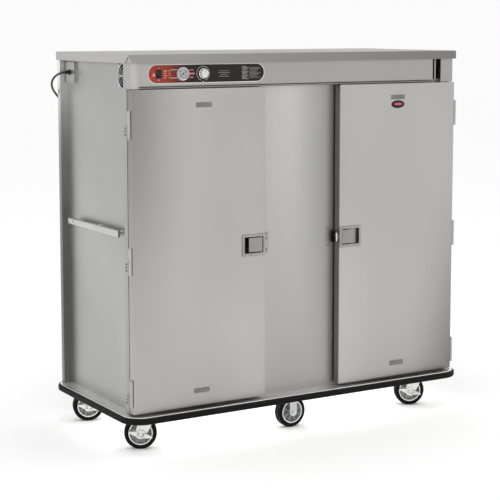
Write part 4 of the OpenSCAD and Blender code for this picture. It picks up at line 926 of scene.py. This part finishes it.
def strike_roller():
    x, y = STRIKE_X, door_front + 0.011
    roller = turned("roller", [(0.0022, -0.0215), (0.0042, -0.0215), (0.005, -0.0207), (0.005, 0.0207),
        (0.0042, 0.0215), (0.0022, 0.0215)], 28)
    put(roller, (x, y, LATCH_Z))
    pin = turned("pin", [(0, -0.0275), (0.0016, -0.0275), (0.002, -0.0270), (0.002, 0.0262),
        (0.0032, 0.0264), (0.0030, 0.0274), (0, 0.0278)], 16)
    put(pin, (x, y, LATCH_Z))
    return join("left_strike_roller", [roller, pin])


HINGE_ZS = [0.289, 0.900, 1.519]
PIN_X, PIN_Y = -0.9235, -0.387


def hinge_leaf(name, low_half):
    """Half of a hinge on the origin: knuckle, and a tapered leaf on the cart's side."""
    half, barrel, step = 0.0635, 0.0633, 0.0031
    if low_half:
        reach = PANEL_Y + 0.022 - PIN_Y
        line = [(0, -0.0515), (0, -step), (reach - 0.018, -step), (reach, -0.010), (reach, -0.0575),
            (reach - 0.010, -half), (0.014, -half)]
        spot, z0 = -0.921, -half
    else:
        line = [(0, step), (0, half - 0.012), (0.010, half), (0.020, half), (0.0285, half - 0.008),
            (0.0285, step)]
        spot, z0 = -0.919, 0.00015
    leaf = outline_plate("leaf", [(PIN_Y + u, v) for u, v in line], spot, 0.004, SIDEWAYS)
    ease(leaf, 0.0005)
    knuckle = turned("knuckle", [(0, 0), (0.0069, 0), (0.0075, 0.0006), (0.0075, barrel - 0.0006),
        (0.0069, barrel), (0, barrel)], 28)
    return join(name, [leaf, put(knuckle, (PIN_X, PIN_Y, z0))])


def sunk_screws(name, piece, spots):
    """Sinks countersunk screws in a leaf: a cone is cut, and a slotted head set in it."""
    heads = []
    for x, y, z in spots:
        cut(piece, round_bar("sink", (x - 0.0004, y, z), (x + 0.0030, y, z), 0.0052, 0.0020, 20))
        head = round_bar("head", (x + 0.0008, y, z), (x + 0.0036, y, z), 0.0038, 0.0018, 20)
        cut(head, block("slot", (x - 0.001, y - 0.0027, z - 0.0005), (x + 0.0015, y + 0.0027, z + 0.0005)))
        heads.append(head)
    return join(name, heads)


pan = door_pan()
fit(pan, "left_door", door_steel, ["left_door_shell"])
fit(mirrored(pan, "right_door_pan"), "right_door", door_steel, ["right_door_shell"])
body, cup, seal = latch_body()
cup.name = cup.data.name = "left_latch_cup"
fit_pair(seal, "left_door", rubber)
fit_pair(body, "left_door", latch_steel, ["left_latch_pan"])
# The left cup is painted in shade with near-black steel; the right one gets the lighter latch steel.
fit_pair(cup, "left_door", cup_shade_steel, ["left_latch_pan"], latch_steel)
fit_pair(latch_paddle(), "left_latch", paddle_steel, ["left_paddle"])
strike_plate, strike_screws, housing = strike()
roller = strike_roller()
fit_pair(strike_plate, "cabinet", latch_steel)
fit_pair(strike_screws, "cabinet", dark_steel)
fit_pair(housing, "cabinet", black_plastic, ["frame_hardware"])
# The right roller gets polished steel as a painted highlight; the left keeps the duller roller steel.
fit_pair(roller, "cabinet", roller_steel, (), bright_steel)

lower, upper = hinge_leaf("lower_leaf", True), hinge_leaf("upper_leaf", False)
lower_heads = sunk_screws("lower_heads", lower, [(-0.921, -0.333, z) for z in (-0.018, -0.033, -0.048)])
upper_heads = sunk_screws("upper_heads", upper, [(-0.919, -0.368, z) for z in (0.014, 0.031, 0.048)])
for name, piece, body, replaced, finish in (("hinge_lower", lower, "cabinet", ["frame_hardware"],
        hinge_steel), ("hinge_upper", upper, "left_door", ["left_door_hinges"], hinge_steel),
        ("hinge_lower_screws", lower_heads, "cabinet", [], dark_steel),
        ("hinge_upper_screws", upper_heads, "left_door", [], dark_steel)):
    row = join(f"left_{name}", [copy_to(piece, (0, 0, z)) for z in HINGE_ZS])
    fit_pair(row, body, finish, replaced)
    discard(piece)

# ---------------------------------------------------------------- top cover and fascia

def cover_pan():
    """Cover with a turned-down lip, its front left corner left open as a V."""
    low, high = cover_low, cover_high
    pan = folded_pan("cover_pan", low, high, Vector((0, 0, -1)), 0.0030)
    notch = outline_plate("notch", [(low.x - 0.01, low.z - 0.01), (low.x + 0.026, low.z - 0.01),
        (low.x, high.z - 0.004)], low.y - 0.01, 0.013)
    side_notch = outline_plate("side_notch", [(low.y - 0.01, low.z - 0.01), (low.y + 0.052, low.z - 0.01),
        (low.y, high.z - 0.004)], low.x - 0.01, 0.013, SIDEWAYS)
    cut(pan, notch, side_notch)
    return pan


fit(cover_pan(), "cabinet", cover_steel, ["top_cover"])
corner = folded_pan("corner_gusset", (-0.9225, -0.3920, 1.7925), (-0.8800, -0.3500, 1.8310),
    Vector((1, 0, 0)), 0.0030)
fit(corner, "cabinet", fascia_steel)

STRIP_X0, STRIP_X1, STRIP_BACK = -0.8645, 0.790, -0.3440
strip = block("drip_strip", (STRIP_X0, -0.3740, 1.6785), (STRIP_X1, STRIP_BACK, 1.6822))
edit(strip)
pick(strip, "EDGE", lambda e: all(v.co.y < -0.373 for v in e.verts) and along(X, 0.1)(e))
bevel(0.0010, 2)
done()
fit(strip, "cabinet", fascia_steel)
seals = [block("seal", (STRIP_X0, -0.3725, z), (STRIP_X1, STRIP_BACK, z + 0.0018)) for z in (1.6768, 1.6821)]
fit(join("drip_strip_seals", seals), "cabinet", rubber)

stop = block("left_door_stop", (-0.917, -0.353, 0.194), (-0.9158, -0.3440, 1.674))
ease(stop, 0.0004)
fit_pair(stop, "cabinet", side_steel)


def small_plate(name, x, z, wide, tall, body):
    """Bare plate with a raised border."""
    plate = slab(name, x, z, wide/2, tall/2, door_front - 0.0012, door_front + 0.0002)
    edit(plate)
    pick(plate, "EDGE", along(Y, 0.0005))
    bevel(0.003, 8)
    pick(plate, "FACE", lambda f: f.normal.y < -0.9)
    bpy.ops.mesh.inset(thickness=tall*0.06, depth=0.0)
    bpy.ops.mesh.inset(thickness=tall*0.04, depth=-0.0004)
    done()
    fit(plate, body, dull_plate)


for name, x, z, wide, tall in (("left_upper_plate", -0.544, 1.600, 0.082, 0.023),
        ("left_lower_plate", -0.560, 0.266, 0.082, 0.023), ("right_upper_plate", 0.560, 1.607, 0.084, 0.023),
        ("right_lower_plate", 0.567, 0.262, 0.084, 0.025)):
    small_plate(name, x, z, wide, tall, name.split("_")[0] + "_door")


def oval_plate(name, x, z, wide, tall, lift, finish):
    """Bare oval plate on a door, its edge eased."""
    angles = [math.radians(a) for a in range(0, 360, 6)]
    outline = [(x + wide/2*math.cos(a), z + tall/2*math.sin(a)) for a in angles]
    plate = outline_plate(name, outline, door_front - lift, lift + 0.0002)
    ease(plate, 0.0003)
    fit(plate, "right_door", finish)


oval_plate("right_red_plate", 0.560, 1.571, 0.080, 0.039, 0.0012, red_plate)
oval_plate("right_red_plate_field", 0.561, 1.572, 0.050, 0.012, 0.0015, print_pink)

# ---------------------------------------------------------------- controls

def switch_bezel():
    collar = slab("switch_bezel", switch.x, switch.z, 0.014, 0.020, overlay_y - 0.003, overlay_y)
    round_front(collar, overlay_y - 0.0025, 0.003, 4, 0.001, 3)
    throat = slab("throat", switch.x, switch.z, 0.0108, 0.0168, overlay_y - 0.001, overlay_y + 0.022)
    for body in (collar, throat):
        cut(body, slab("hole", switch.x, switch.z, 0.008, 0.014, overlay_y - 0.01, overlay_y + 0.016))
    return join("switch_bezel", [collar, throat])


def gauge_case():
    rim = turned("gauge_case", [(0.0252, 0), (0.0315, 0), (0.0312, 0.0026), (0.0300, 0.0034),
        (0.0300, 0.0066), (0.0292, 0.0078), (0.0274, 0.0080), (0.0262, 0.0072), (0.0260, 0.0030),
        (0.0030, 0.0030), (0.0030, -0.0330), (0.0245, -0.0340), (0.0250, -0.0330)], 64)
    return put(rim, gauge, TO_FRONT)


def dial():
    """Printed card, and its ring of ticks and numbers."""
    card = put(turned("card", [(0.0032, 0.0030), (0.0258, 0.0030), (0.0258, 0.00325), (0.0032, 0.00325)],
        48), gauge, TO_FRONT)
    marks = []
    for i in range(28):
        half_wide, root = (0.00030, 0.0212) if i % 3 == 0 else (0.00018, 0.0226)
        tick = block("tick", (-half_wide, root, 0.0032), (half_wide, 0.0248, 0.0034))
        angle = math.radians(225 - i*10)
        marks.append(put(tick, gauge, clock(angle)))
    for i, value in enumerate(("0", "30", "60", "90")):
        angle = math.radians(225 - i*90)
        figure = label("figure", value, 0.0066)
        marks.append(put(figure, gauge + Vector((0.0168*math.cos(angle), -0.0033,
            0.0168*math.sin(angle))), TO_FRONT))
    return card, join("dial_marks", marks)


def knob_piece():
    """Flange, scalloped grip and dished top."""
    grip = turned("knob_grip", [(0, 0), (0.0232, 0), (0.0240, 0.0008), (0.0240, 0.0040), (0.0232, 0.0050),
        (0.0208, 0.0052), (0.0202, 0.0060), (0.0202, 0.0172),
        (0.0196, 0.0186), (0.0176, 0.0198), (0.0158, 0.0200), (0.0148, 0.0190), (0, 0.0190)], 96)
    for vertex in grip.data.vertices:
        radius, around = math.hypot(vertex.co.x, vertex.co.y), math.atan2(vertex.co.y, vertex.co.x)
        if 0.0150 < radius < 0.0205 and vertex.co.z > 0.0055:
            share = 1 - 0.075*max(0, math.cos(12*around))**2
            vertex.co.x, vertex.co.y = vertex.co.x*share, vertex.co.y*share
    return put(grip, Vector((knob.x, overlay_y - 0.001, knob.z)), TO_FRONT)


fit(switch_bezel(), "cabinet", black_plastic, ["panel_fittings"])
fit(gauge_case(), "cabinet", bright_steel, ["panel_fittings"])
card, dial_marks = dial()
fit(card, "cabinet", dial_face)
fit(dial_marks, "cabinet", dial_ink)
lens = turned("lens_blank", [(0, 0.0068), (0.0258, 0.0062), (0.0262, 0.0064), (0.0256, 0.0070),
    (0.0180, 0.0076), (0, 0.0080)], 48)
fit(put(lens, gauge, TO_FRONT), "cabinet", lens_glass)
fit(knob_piece(), "knob", bright_steel, ["thermostat_knob"])
pointer = block("knob_pointer", (knob.x - 0.0009, overlay_y - 0.0206, knob.z + 0.002),
    (knob.x + 0.0009, overlay_y - 0.0198, knob.z + 0.0142))
ease(pointer, 0.0003)
fit(pointer, "knob", black_plastic)


PRINT_T, PRINT_SEAT = 0.00015, 0.0001


def print_bar(x0, x1, z, tall=0.0016):
    return block("bar", (x0, overlay_y - PRINT_T, z - tall/2), (x1, overlay_y + PRINT_SEAT, z + tall/2))


def print_ring(name, centre, radius, wide, gap=0):
    """Printed ring, or an arc that leaves a gap at its foot."""
    ring = turned(name, [(radius - wide/2, 0), (radius + wide/2, 0), (radius + wide/2, PRINT_T),
        (radius - wide/2, PRINT_T)], 72)
    if gap:
        cut(ring, block("gap", (-gap, -radius*1.2, -0.01), (gap, -radius*0.5, 0.01)))
    return put(ring, centre, TO_FRONT)


white = [print_ring("scale_ring", knob, 0.0330, 0.0016, 0.012)]
for i in range(11):
    angle = math.radians(240 - i*30)
    tick = block("tick", (-0.0005, 0.0285, 0), (0.0005, 0.0325, PRINT_T))
    white.append(put(tick, knob, clock(angle)))
white.append(outline_plate("index", [(knob.x - 0.004, knob.z - 0.0390), (knob.x + 0.004, knob.z - 0.0390),
    (knob.x, knob.z - 0.0340)], overlay_y - PRINT_T, PRINT_T + PRINT_SEAT))
for z in (0.0185, -0.0185):
    white.append(print_bar(gauge.x - 0.062, gauge.x - 0.026, control_z + z, 0.0022))
for figure, z in (("I", 0.0265), ("O", -0.0265)):
    mark = label("mark", figure, 0.0105)
    white.append(put(mark, Vector((switch.x, overlay_y - 0.0001, switch.z + z)), TO_FRONT))
rim = block("overlay_rim", (overlay_low.x - 0.0032, overlay_y + 0.0001, overlay_low.z - 0.0032),
    (overlay_high.x + 0.0032, overlay_y + 0.0012, overlay_high.z + 0.0032))
ease(rim, 0.0430, 14, along(Y, 0.0005))
hole = block("hole", (overlay_low.x + 0.0002, overlay_y - 0.01, overlay_low.z + 0.0002),
    (overlay_high.x - 0.0002, overlay_y + 0.01, overlay_high.z - 0.0002))
ease(hole, 0.0398, 14, along(Y, 0.005))
cut(rim, hole)
fit(rim, "cabinet", print_white)
fit(join("white_print", white), "cabinet", print_white)

orange = [outline_plate("triangle", [(overlay_low.x + 0.019, control_z - 0.009),
    (overlay_low.x + 0.035, control_z - 0.009), (overlay_low.x + 0.027, control_z + 0.008)],
    overlay_y - PRINT_T, PRINT_T + PRINT_SEAT)]
for row, z in enumerate((0.014, 0.0035, -0.007, -0.0175)):
    orange.append(print_bar(switch.x + 0.026, switch.x + (0.037 if row % 2 else 0.043), control_z + z,
        0.0042))
    orange.append(print_bar(switch.x + 0.050, switch.x + 0.060, control_z + z, 0.0028))
fit(join("orange_print", orange), "cabinet", print_orange)
pink = [print_bar(gauge.x + 0.034, gauge.x + 0.062 - 0.006*abs(i), control_z + 0.0165*i,
    0.0050 if i else 0.0095) for i in (-1, 0, 1)]
fit(join("pink_print", pink), "cabinet", print_pink)

grey = []
for i, wide in enumerate((0.050, 0.064, 0.040, 0.054)):
    grey.append(print_bar(knob.x + 0.110 - wide/2, knob.x + 0.110 + wide/2, control_z + 0.010 - 0.0085*i,
        0.0016))
for i in range(11):
    z = control_z + 0.0285 - 0.0057*i
    grey.append(print_bar(overlay_high.x - 0.120, overlay_high.x - 0.096 + 0.006*((i*5) % 3), z, 0.0022))
    if 0 < i < 10:
        grey.append(print_bar(overlay_high.x - 0.080, overlay_high.x - 0.040 + 0.007*((i*7) % 4), z, 0.0013))
fit(join("grey_print", grey), "cabinet", print_grey)

# ---------------------------------------------------------------- push handles

def push_handle():
    """Flat bar with its front edges rounded, on three posts with a screw each."""
    middle, z = 0.0115, 1.012
    bar = block("left_push_handle", (-0.925, middle - 0.276, z - 0.015), (-0.912, middle + 0.276, z + 0.015))
    edit(bar)
    pick(bar, "EDGE", lambda e: all(v.co.x < -0.92 for v in e.verts) and along(Y, 0.1)(e))
    bevel(0.004, 5)
    pick(bar, "EDGE", lambda e: abs(sum(v.co.y for v in e.verts)/2 - middle) > 0.27)
    bevel(0.0012, 2)
    done()
    post = turned("post", [(0, -0.0005), (0.0100, -0.0005), (0.0096, 0.004), (0.0102, 0.022),
        (0.0130, 0.0275), (0.0135, 0.0330), (0, 0.0330)], 32)
    rows = [middle + y for y in (-0.236, 0, 0.236)]
    posts = [copy_to(post, (-0.912, y, z), TO_RIGHT) for y in rows]
    discard(post)
    heads = [copy_to(big_screw, (-0.9249, y, z), TO_LEFT) for y in rows]
    return join("left_push_handle", [bar] + posts), join("left_handle_screws", heads)


handle, handle_screws = push_handle()
fit_pair(handle, "cabinet", handle_steel, ["push_handles"])
fit_pair(handle_screws, "cabinet", bright_steel)

# ---------------------------------------------------------------- fan in the left wall

FAN = Vector((-0.879, -0.2535, 1.732))


def fan_frame():
    duct = block("fan_duct", (-0.0595, -0.0595, 0), (0.0595, 0.0595, 0.025))
    edit(duct)
    pick(duct, "EDGE", along(Z, 0.01))
    bevel(0.006, 4)
    done()
    cut(duct, round_bar("bore", (0, 0, -0.01), (0, 0, 0.04), 0.057, sides=72))
    seat = round_bar("seat", (0, 0, 0.022), (0, 0, 0.025), 0.020, sides=40)
    struts = []
    for i in range(4):
        strut = block("strut", (0.018, -0.0025, 0.022), (0.058, 0.0025, 0.025))
        struts.append(put(strut, (0, 0, 0), round_z(45 + 90*i)))
    return put(join("fan_duct", [duct, seat] + struts), FAN + Vector((0.0012, 0, 0)), TO_RIGHT)


def fan_guard():
    parts = []
    for radius in (0.014, 0.028, 0.042, 0.056):
        bpy.ops.mesh.primitive_torus_add(major_radius=radius, minor_radius=0.0011, major_segments=56,
            minor_segments=8, location=(0, 0, 0.003))
        parts.append(fresh("ring"))
    for i in range(2):
        strap = block("strap", (-0.056, -0.0025, 0.001), (0.056, 0.0025, 0.0023))
        ease(strap, 0.0004)
        parts.append(put(strap, (0, 0, 0), round_z(90*i)))
    ear = block("ear", (0.054, -0.0045, 0), (0.078, 0.0045, 0.0022))
    ease(ear, 0.0008)
    for i in range(4):
        parts.append(copy_to(ear, (0, 0, 0), round_z(45 + 90*i)))
    discard(ear)
    heads = []
    for i in range(4):
        angle = math.radians(45 + 90*i)
        heads.append(copy_to(small_screw, (0.0742*math.cos(angle), 0.0742*math.sin(angle), 0.002)))
    return put(join("fan_guard", parts + heads), FAN, TO_LEFT)


def fan_blades():
    hub = turned("fan_hub", [(0, 0.002), (0.0175, 0.002), (0.019, 0.0035), (0.019, 0.0215), (0.003, 0.0215),
        (0.003, 0.0245), (0, 0.0245)], 36)
    parts = [hub]
    blade = block("blade", (0, -0.0009, -0.011), (0.036, 0.0009, 0.011))
    edit(blade)
    pick_all()
    bpy.ops.mesh.subdivide(number_cuts=3)
    done()
    for vertex in blade.data.vertices:
        vertex.co.y += 0.0026*(1 - (vertex.co.z/0.011)**2)
    for i in range(7):
        around = round_z(i*360/7).to_matrix()
        pitched = around @ Euler((math.radians(50), 0, 0)).to_matrix()
        parts.append(copy_to(blade, around @ Vector((0.018, 0, 0.012)), pitched.to_euler()))
    discard(blade)
    return put(join("fan_blades", parts), FAN + Vector((0.0012, 0, 0)), TO_RIGHT)


duct = fan_frame()
fit(duct, "cabinet", black_plastic, ["fan_frame"])
guard = fan_guard()
fit(guard, "cabinet", bright_steel, ["fan_frame"])
rotor = fan_blades()
fit(rotor, "bay_fan", black_plastic, ["fan_rotor"])


# ---------------------------------------------------------------- casters

WHEEL_R, RIM_R, SHOULDER_R, HALF = 0.0762, 0.0572, 0.0090, 0.024
TRAIL, LEG_Y, FORK_T, CROWN_Z, PLATE_Z = 0.050, 0.028, 0.005, 0.158, 0.174
TILT = math.radians(14)
CASTERS = [("front_left", -0.780, -0.302, -26), ("front_right", 0.780, -0.302, -23),
    ("rear_left", -0.780, 0.278, -17), ("rear_right", 0.780, 0.278, -20),
    ("front_middle", -0.025, -0.321, None), ("rear_middle", -0.025, 0.297, None)]


def fork_leg(sign):
    inner, outer = sorted((sign*LEG_Y, sign*(LEG_Y + FORK_T)))
    leg = hull_of("leg", [round_bar("eye", (-TRAIL, inner, WHEEL_R), (-TRAIL, outer, WHEEL_R), 0.026,
        sides=40), block("shoulder", (-TRAIL - 0.001, inner, CROWN_Z), (0.021, outer, CROWN_Z + 0.006))])
    pocket_low, pocket_high = sorted((sign*(LEG_Y + 0.002), sign*(LEG_Y + FORK_T + 0.002)))
    pocket = hull_of("pocket", [round_bar("end", (-TRAIL + u, pocket_low, WHEEL_R + v),
        (-TRAIL + u, pocket_high, WHEEL_R + v), r, sides=20)
        for u, v, r in ((0.014, 0.044, 0.008), (0.032, 0.062, 0.010), (0.010, 0.066, 0.008))])
    cut(leg, pocket)
    ease(leg, 0.0010, 2, lambda e: e.calc_length() > 0.002)
    boss_low, boss_high = sorted((sign*(LEG_Y + FORK_T - 0.0005), sign*(LEG_Y + FORK_T + 0.004)))
    boss = round_bar("boss", (-TRAIL, boss_low, WHEEL_R), (-TRAIL, boss_high, WHEEL_R), 0.015, sides=36)
    ease(boss, 0.0012)
    return [leg, boss]


def swivel_fork():
    """Stamped fork with its crown, ball race, axle bolt and nuts, on its swivel's axis."""
    crown = hull_of("crown", [round_bar("disc", (0, 0, CROWN_Z), (0, 0, CROWN_Z + 0.006), 0.038, sides=48),
        block("tail", (-TRAIL - 0.008, -0.033, CROWN_Z), (-TRAIL + 0.008, 0.033, CROWN_Z + 0.006)),
        block("nose", (0.007, -0.033, CROWN_Z), (0.021, 0.033, CROWN_Z + 0.006))])
    ease(crown, 0.0012)
    race = turned("race", [(0.0225, CROWN_Z + 0.004), (0.0340, CROWN_Z + 0.004), (0.0340, CROWN_Z + 0.0080),
        (0.0325, CROWN_Z + 0.0095),
        (0.0340, CROWN_Z + 0.0110), (0.0340, PLATE_Z - 0.0006), (0.0225, PLATE_Z - 0.0006)], 48)
    nuts = []
    for y0, y1 in ((-0.0500, -0.0440), (0.0370, 0.0430)):
        nut = round_bar("nut", (-TRAIL, y0, WHEEL_R), (-TRAIL, y1, WHEEL_R), 0.0098, sides=6)
        ease(nut, 0.0008)
        nuts.append(nut)
    shank = round_bar("shank", (-TRAIL, -0.0515, WHEEL_R), (-TRAIL, 0.0445, WHEEL_R), 0.0058, sides=20)
    ease(shank, 0.0006)
    return join("fork", [crown, race, shank] + nuts + fork_leg(1) + fork_leg(-1))


def brake_lever():
    """Two-winged lever with a ribbed pad on each wing, on its axle."""
    low, high = -0.0433, -0.0373
    hub = round_bar("hub", (0, low, 0), (0, high, 0), 0.019, sides=40)
    wings, ribs = [], []
    for s in (-1, 1):
        wings.append(hull_of("wing", [
            round_bar("root", (s*0.012, low, -0.004), (s*0.012, high, -0.004), 0.012, sides=28),
            round_bar("tip", (s*0.052, low, -0.004), (s*0.052, high, -0.004), 0.0045, sides=20)]))
        for i in range(3):
            x = s*(0.030 + 0.007*i)
            ribs.append(block("rib", (x - 0.0012, low + 0.0005, -0.0085 + 0.0012*i),
                (x + 0.0012, high - 0.0005, 0.0072 - 0.0020*i)))
    for part in [hub] + wings:
        ease(part, 0.0012, 2, lambda e: e.calc_length() > 0.001)
    return put(join("lever", [hub] + wings + ribs), (0, 0, 0), Euler((0, TILT, 0)))


def both_faces(side):
    """Closed profile of a wheel's piece from the half of it on one face."""
    return [(radius, -height) for radius, height in side] + side[::-1]


def wheel_core():
    """Cast centre: hub, sunk web, eight spokes on each side; and the bright rim round it."""
    web = turned("core", both_faces([(0.0061, HALF), (0.0135, HALF), (0.0150, HALF - 0.0015),
        (0.0170, HALF - 0.004), (0.0175, 0.005), (0.0470, 0.0045), (0.0500, HALF - 0.006),
        (0.0512, HALF - 0.0035)]), 64)
    spoke = hull_of("spoke", [block("foot", (0.0155, -0.0038, -HALF + 0.0045),
        (0.0175, 0.0038, HALF - 0.0045)),
        block("end", (0.0480, -0.0022, -HALF + 0.0065), (0.0505, 0.0022, HALF - 0.0065))])
    ease(spoke, 0.0008)
    spokes = [copy_to(spoke, (0, 0, 0), round_z(i*45 + 22.5)) for i in range(8)]
    discard(spoke)
    rim = turned("rim", both_faces([(0.0508, HALF - 0.0045), (0.0510, HALF - 0.0018), (0.0520, HALF - 0.0010),
        (0.0562, HALF - 0.0010), (0.0571, HALF - 0.0020)]), 72)
    return join("core", [web] + spokes), rim


def tyre_ring():
    """Rounded tread with a parting line round its middle and a step by the rim."""
    side = [(RIM_R, HALF - 0.001), (0.0600, HALF - 0.0004), (0.0612, HALF), (0.0664, HALF)]
    for degrees in (10, 30, 50, 70, 90):
        turn = math.radians(degrees)
        side.append((0.0672 + SHOULDER_R*math.sin(turn), HALF - SHOULDER_R + SHOULDER_R*math.cos(turn)))
    side += [(WHEEL_R, 0.0012), (0.0758, 0.0006)]
    return turned("tyre", both_faces(side), 96)


fork, lever, tyre = swivel_fork(), brake_lever(), tyre_ring()
core, rim = wheel_core()
for name, x, y, angle in CASTERS:
    turn = math.radians(angle or 0)
    axle = Vector((x, y, WHEEL_R))
    if angle:
        axle -= Vector((math.cos(turn)*TRAIL, math.sin(turn)*TRAIL, 0))
    roll = Euler((math.radians(90), 0, turn))
    copies = [(f"wheel_core_{name}", core, axle, roll, f"wheel_{name}", "grey_core", core_grey,
        [f"core_{name}"]), (f"wheel_rim_{name}", rim, axle, roll, f"wheel_{name}", "zinc_plate", rim_steel,
        []), (f"wheel_tyre_{name}", tyre, axle, roll, f"wheel_{name}", "black_tyre", tread, [f"tyre_{name}"])]
    if angle:
        turn = Euler((0, 0, turn))
        copies += [(f"swivel_fork_{name}", fork, (x, y, 0), turn, f"swivel_{name}", "zinc_plate", fork_zinc,
            [f"fork_{name}"]), (f"brake_lever_{name}", lever, axle, turn, f"pedal_{name}", "grey_core",
            lever_white, [f"brake_{name}"])]
    for title, piece, place, lay, body, slot, finish, replaced in copies:
        twin = copy_to(piece, place, lay)
        twin.name = twin.data.name = title
        fit(twin, body, finish, replaced)
for piece in (fork, lever, tyre, core, rim):
    discard(piece)
spots = [(x + u, y + v) for name, x, y, angle in CASTERS for u in (-0.046, 0.046) for v in (-0.038, 0.038)]
bolts = [copy_to(hex_bolt, (u, v, PLATE_Z), UPSIDE_DOWN) for u, v in spots]
fit(join("plate_bolts", bolts), "cabinet", zinc)

for piece in (small_screw, big_screw, hex_bolt):
    discard(piece)
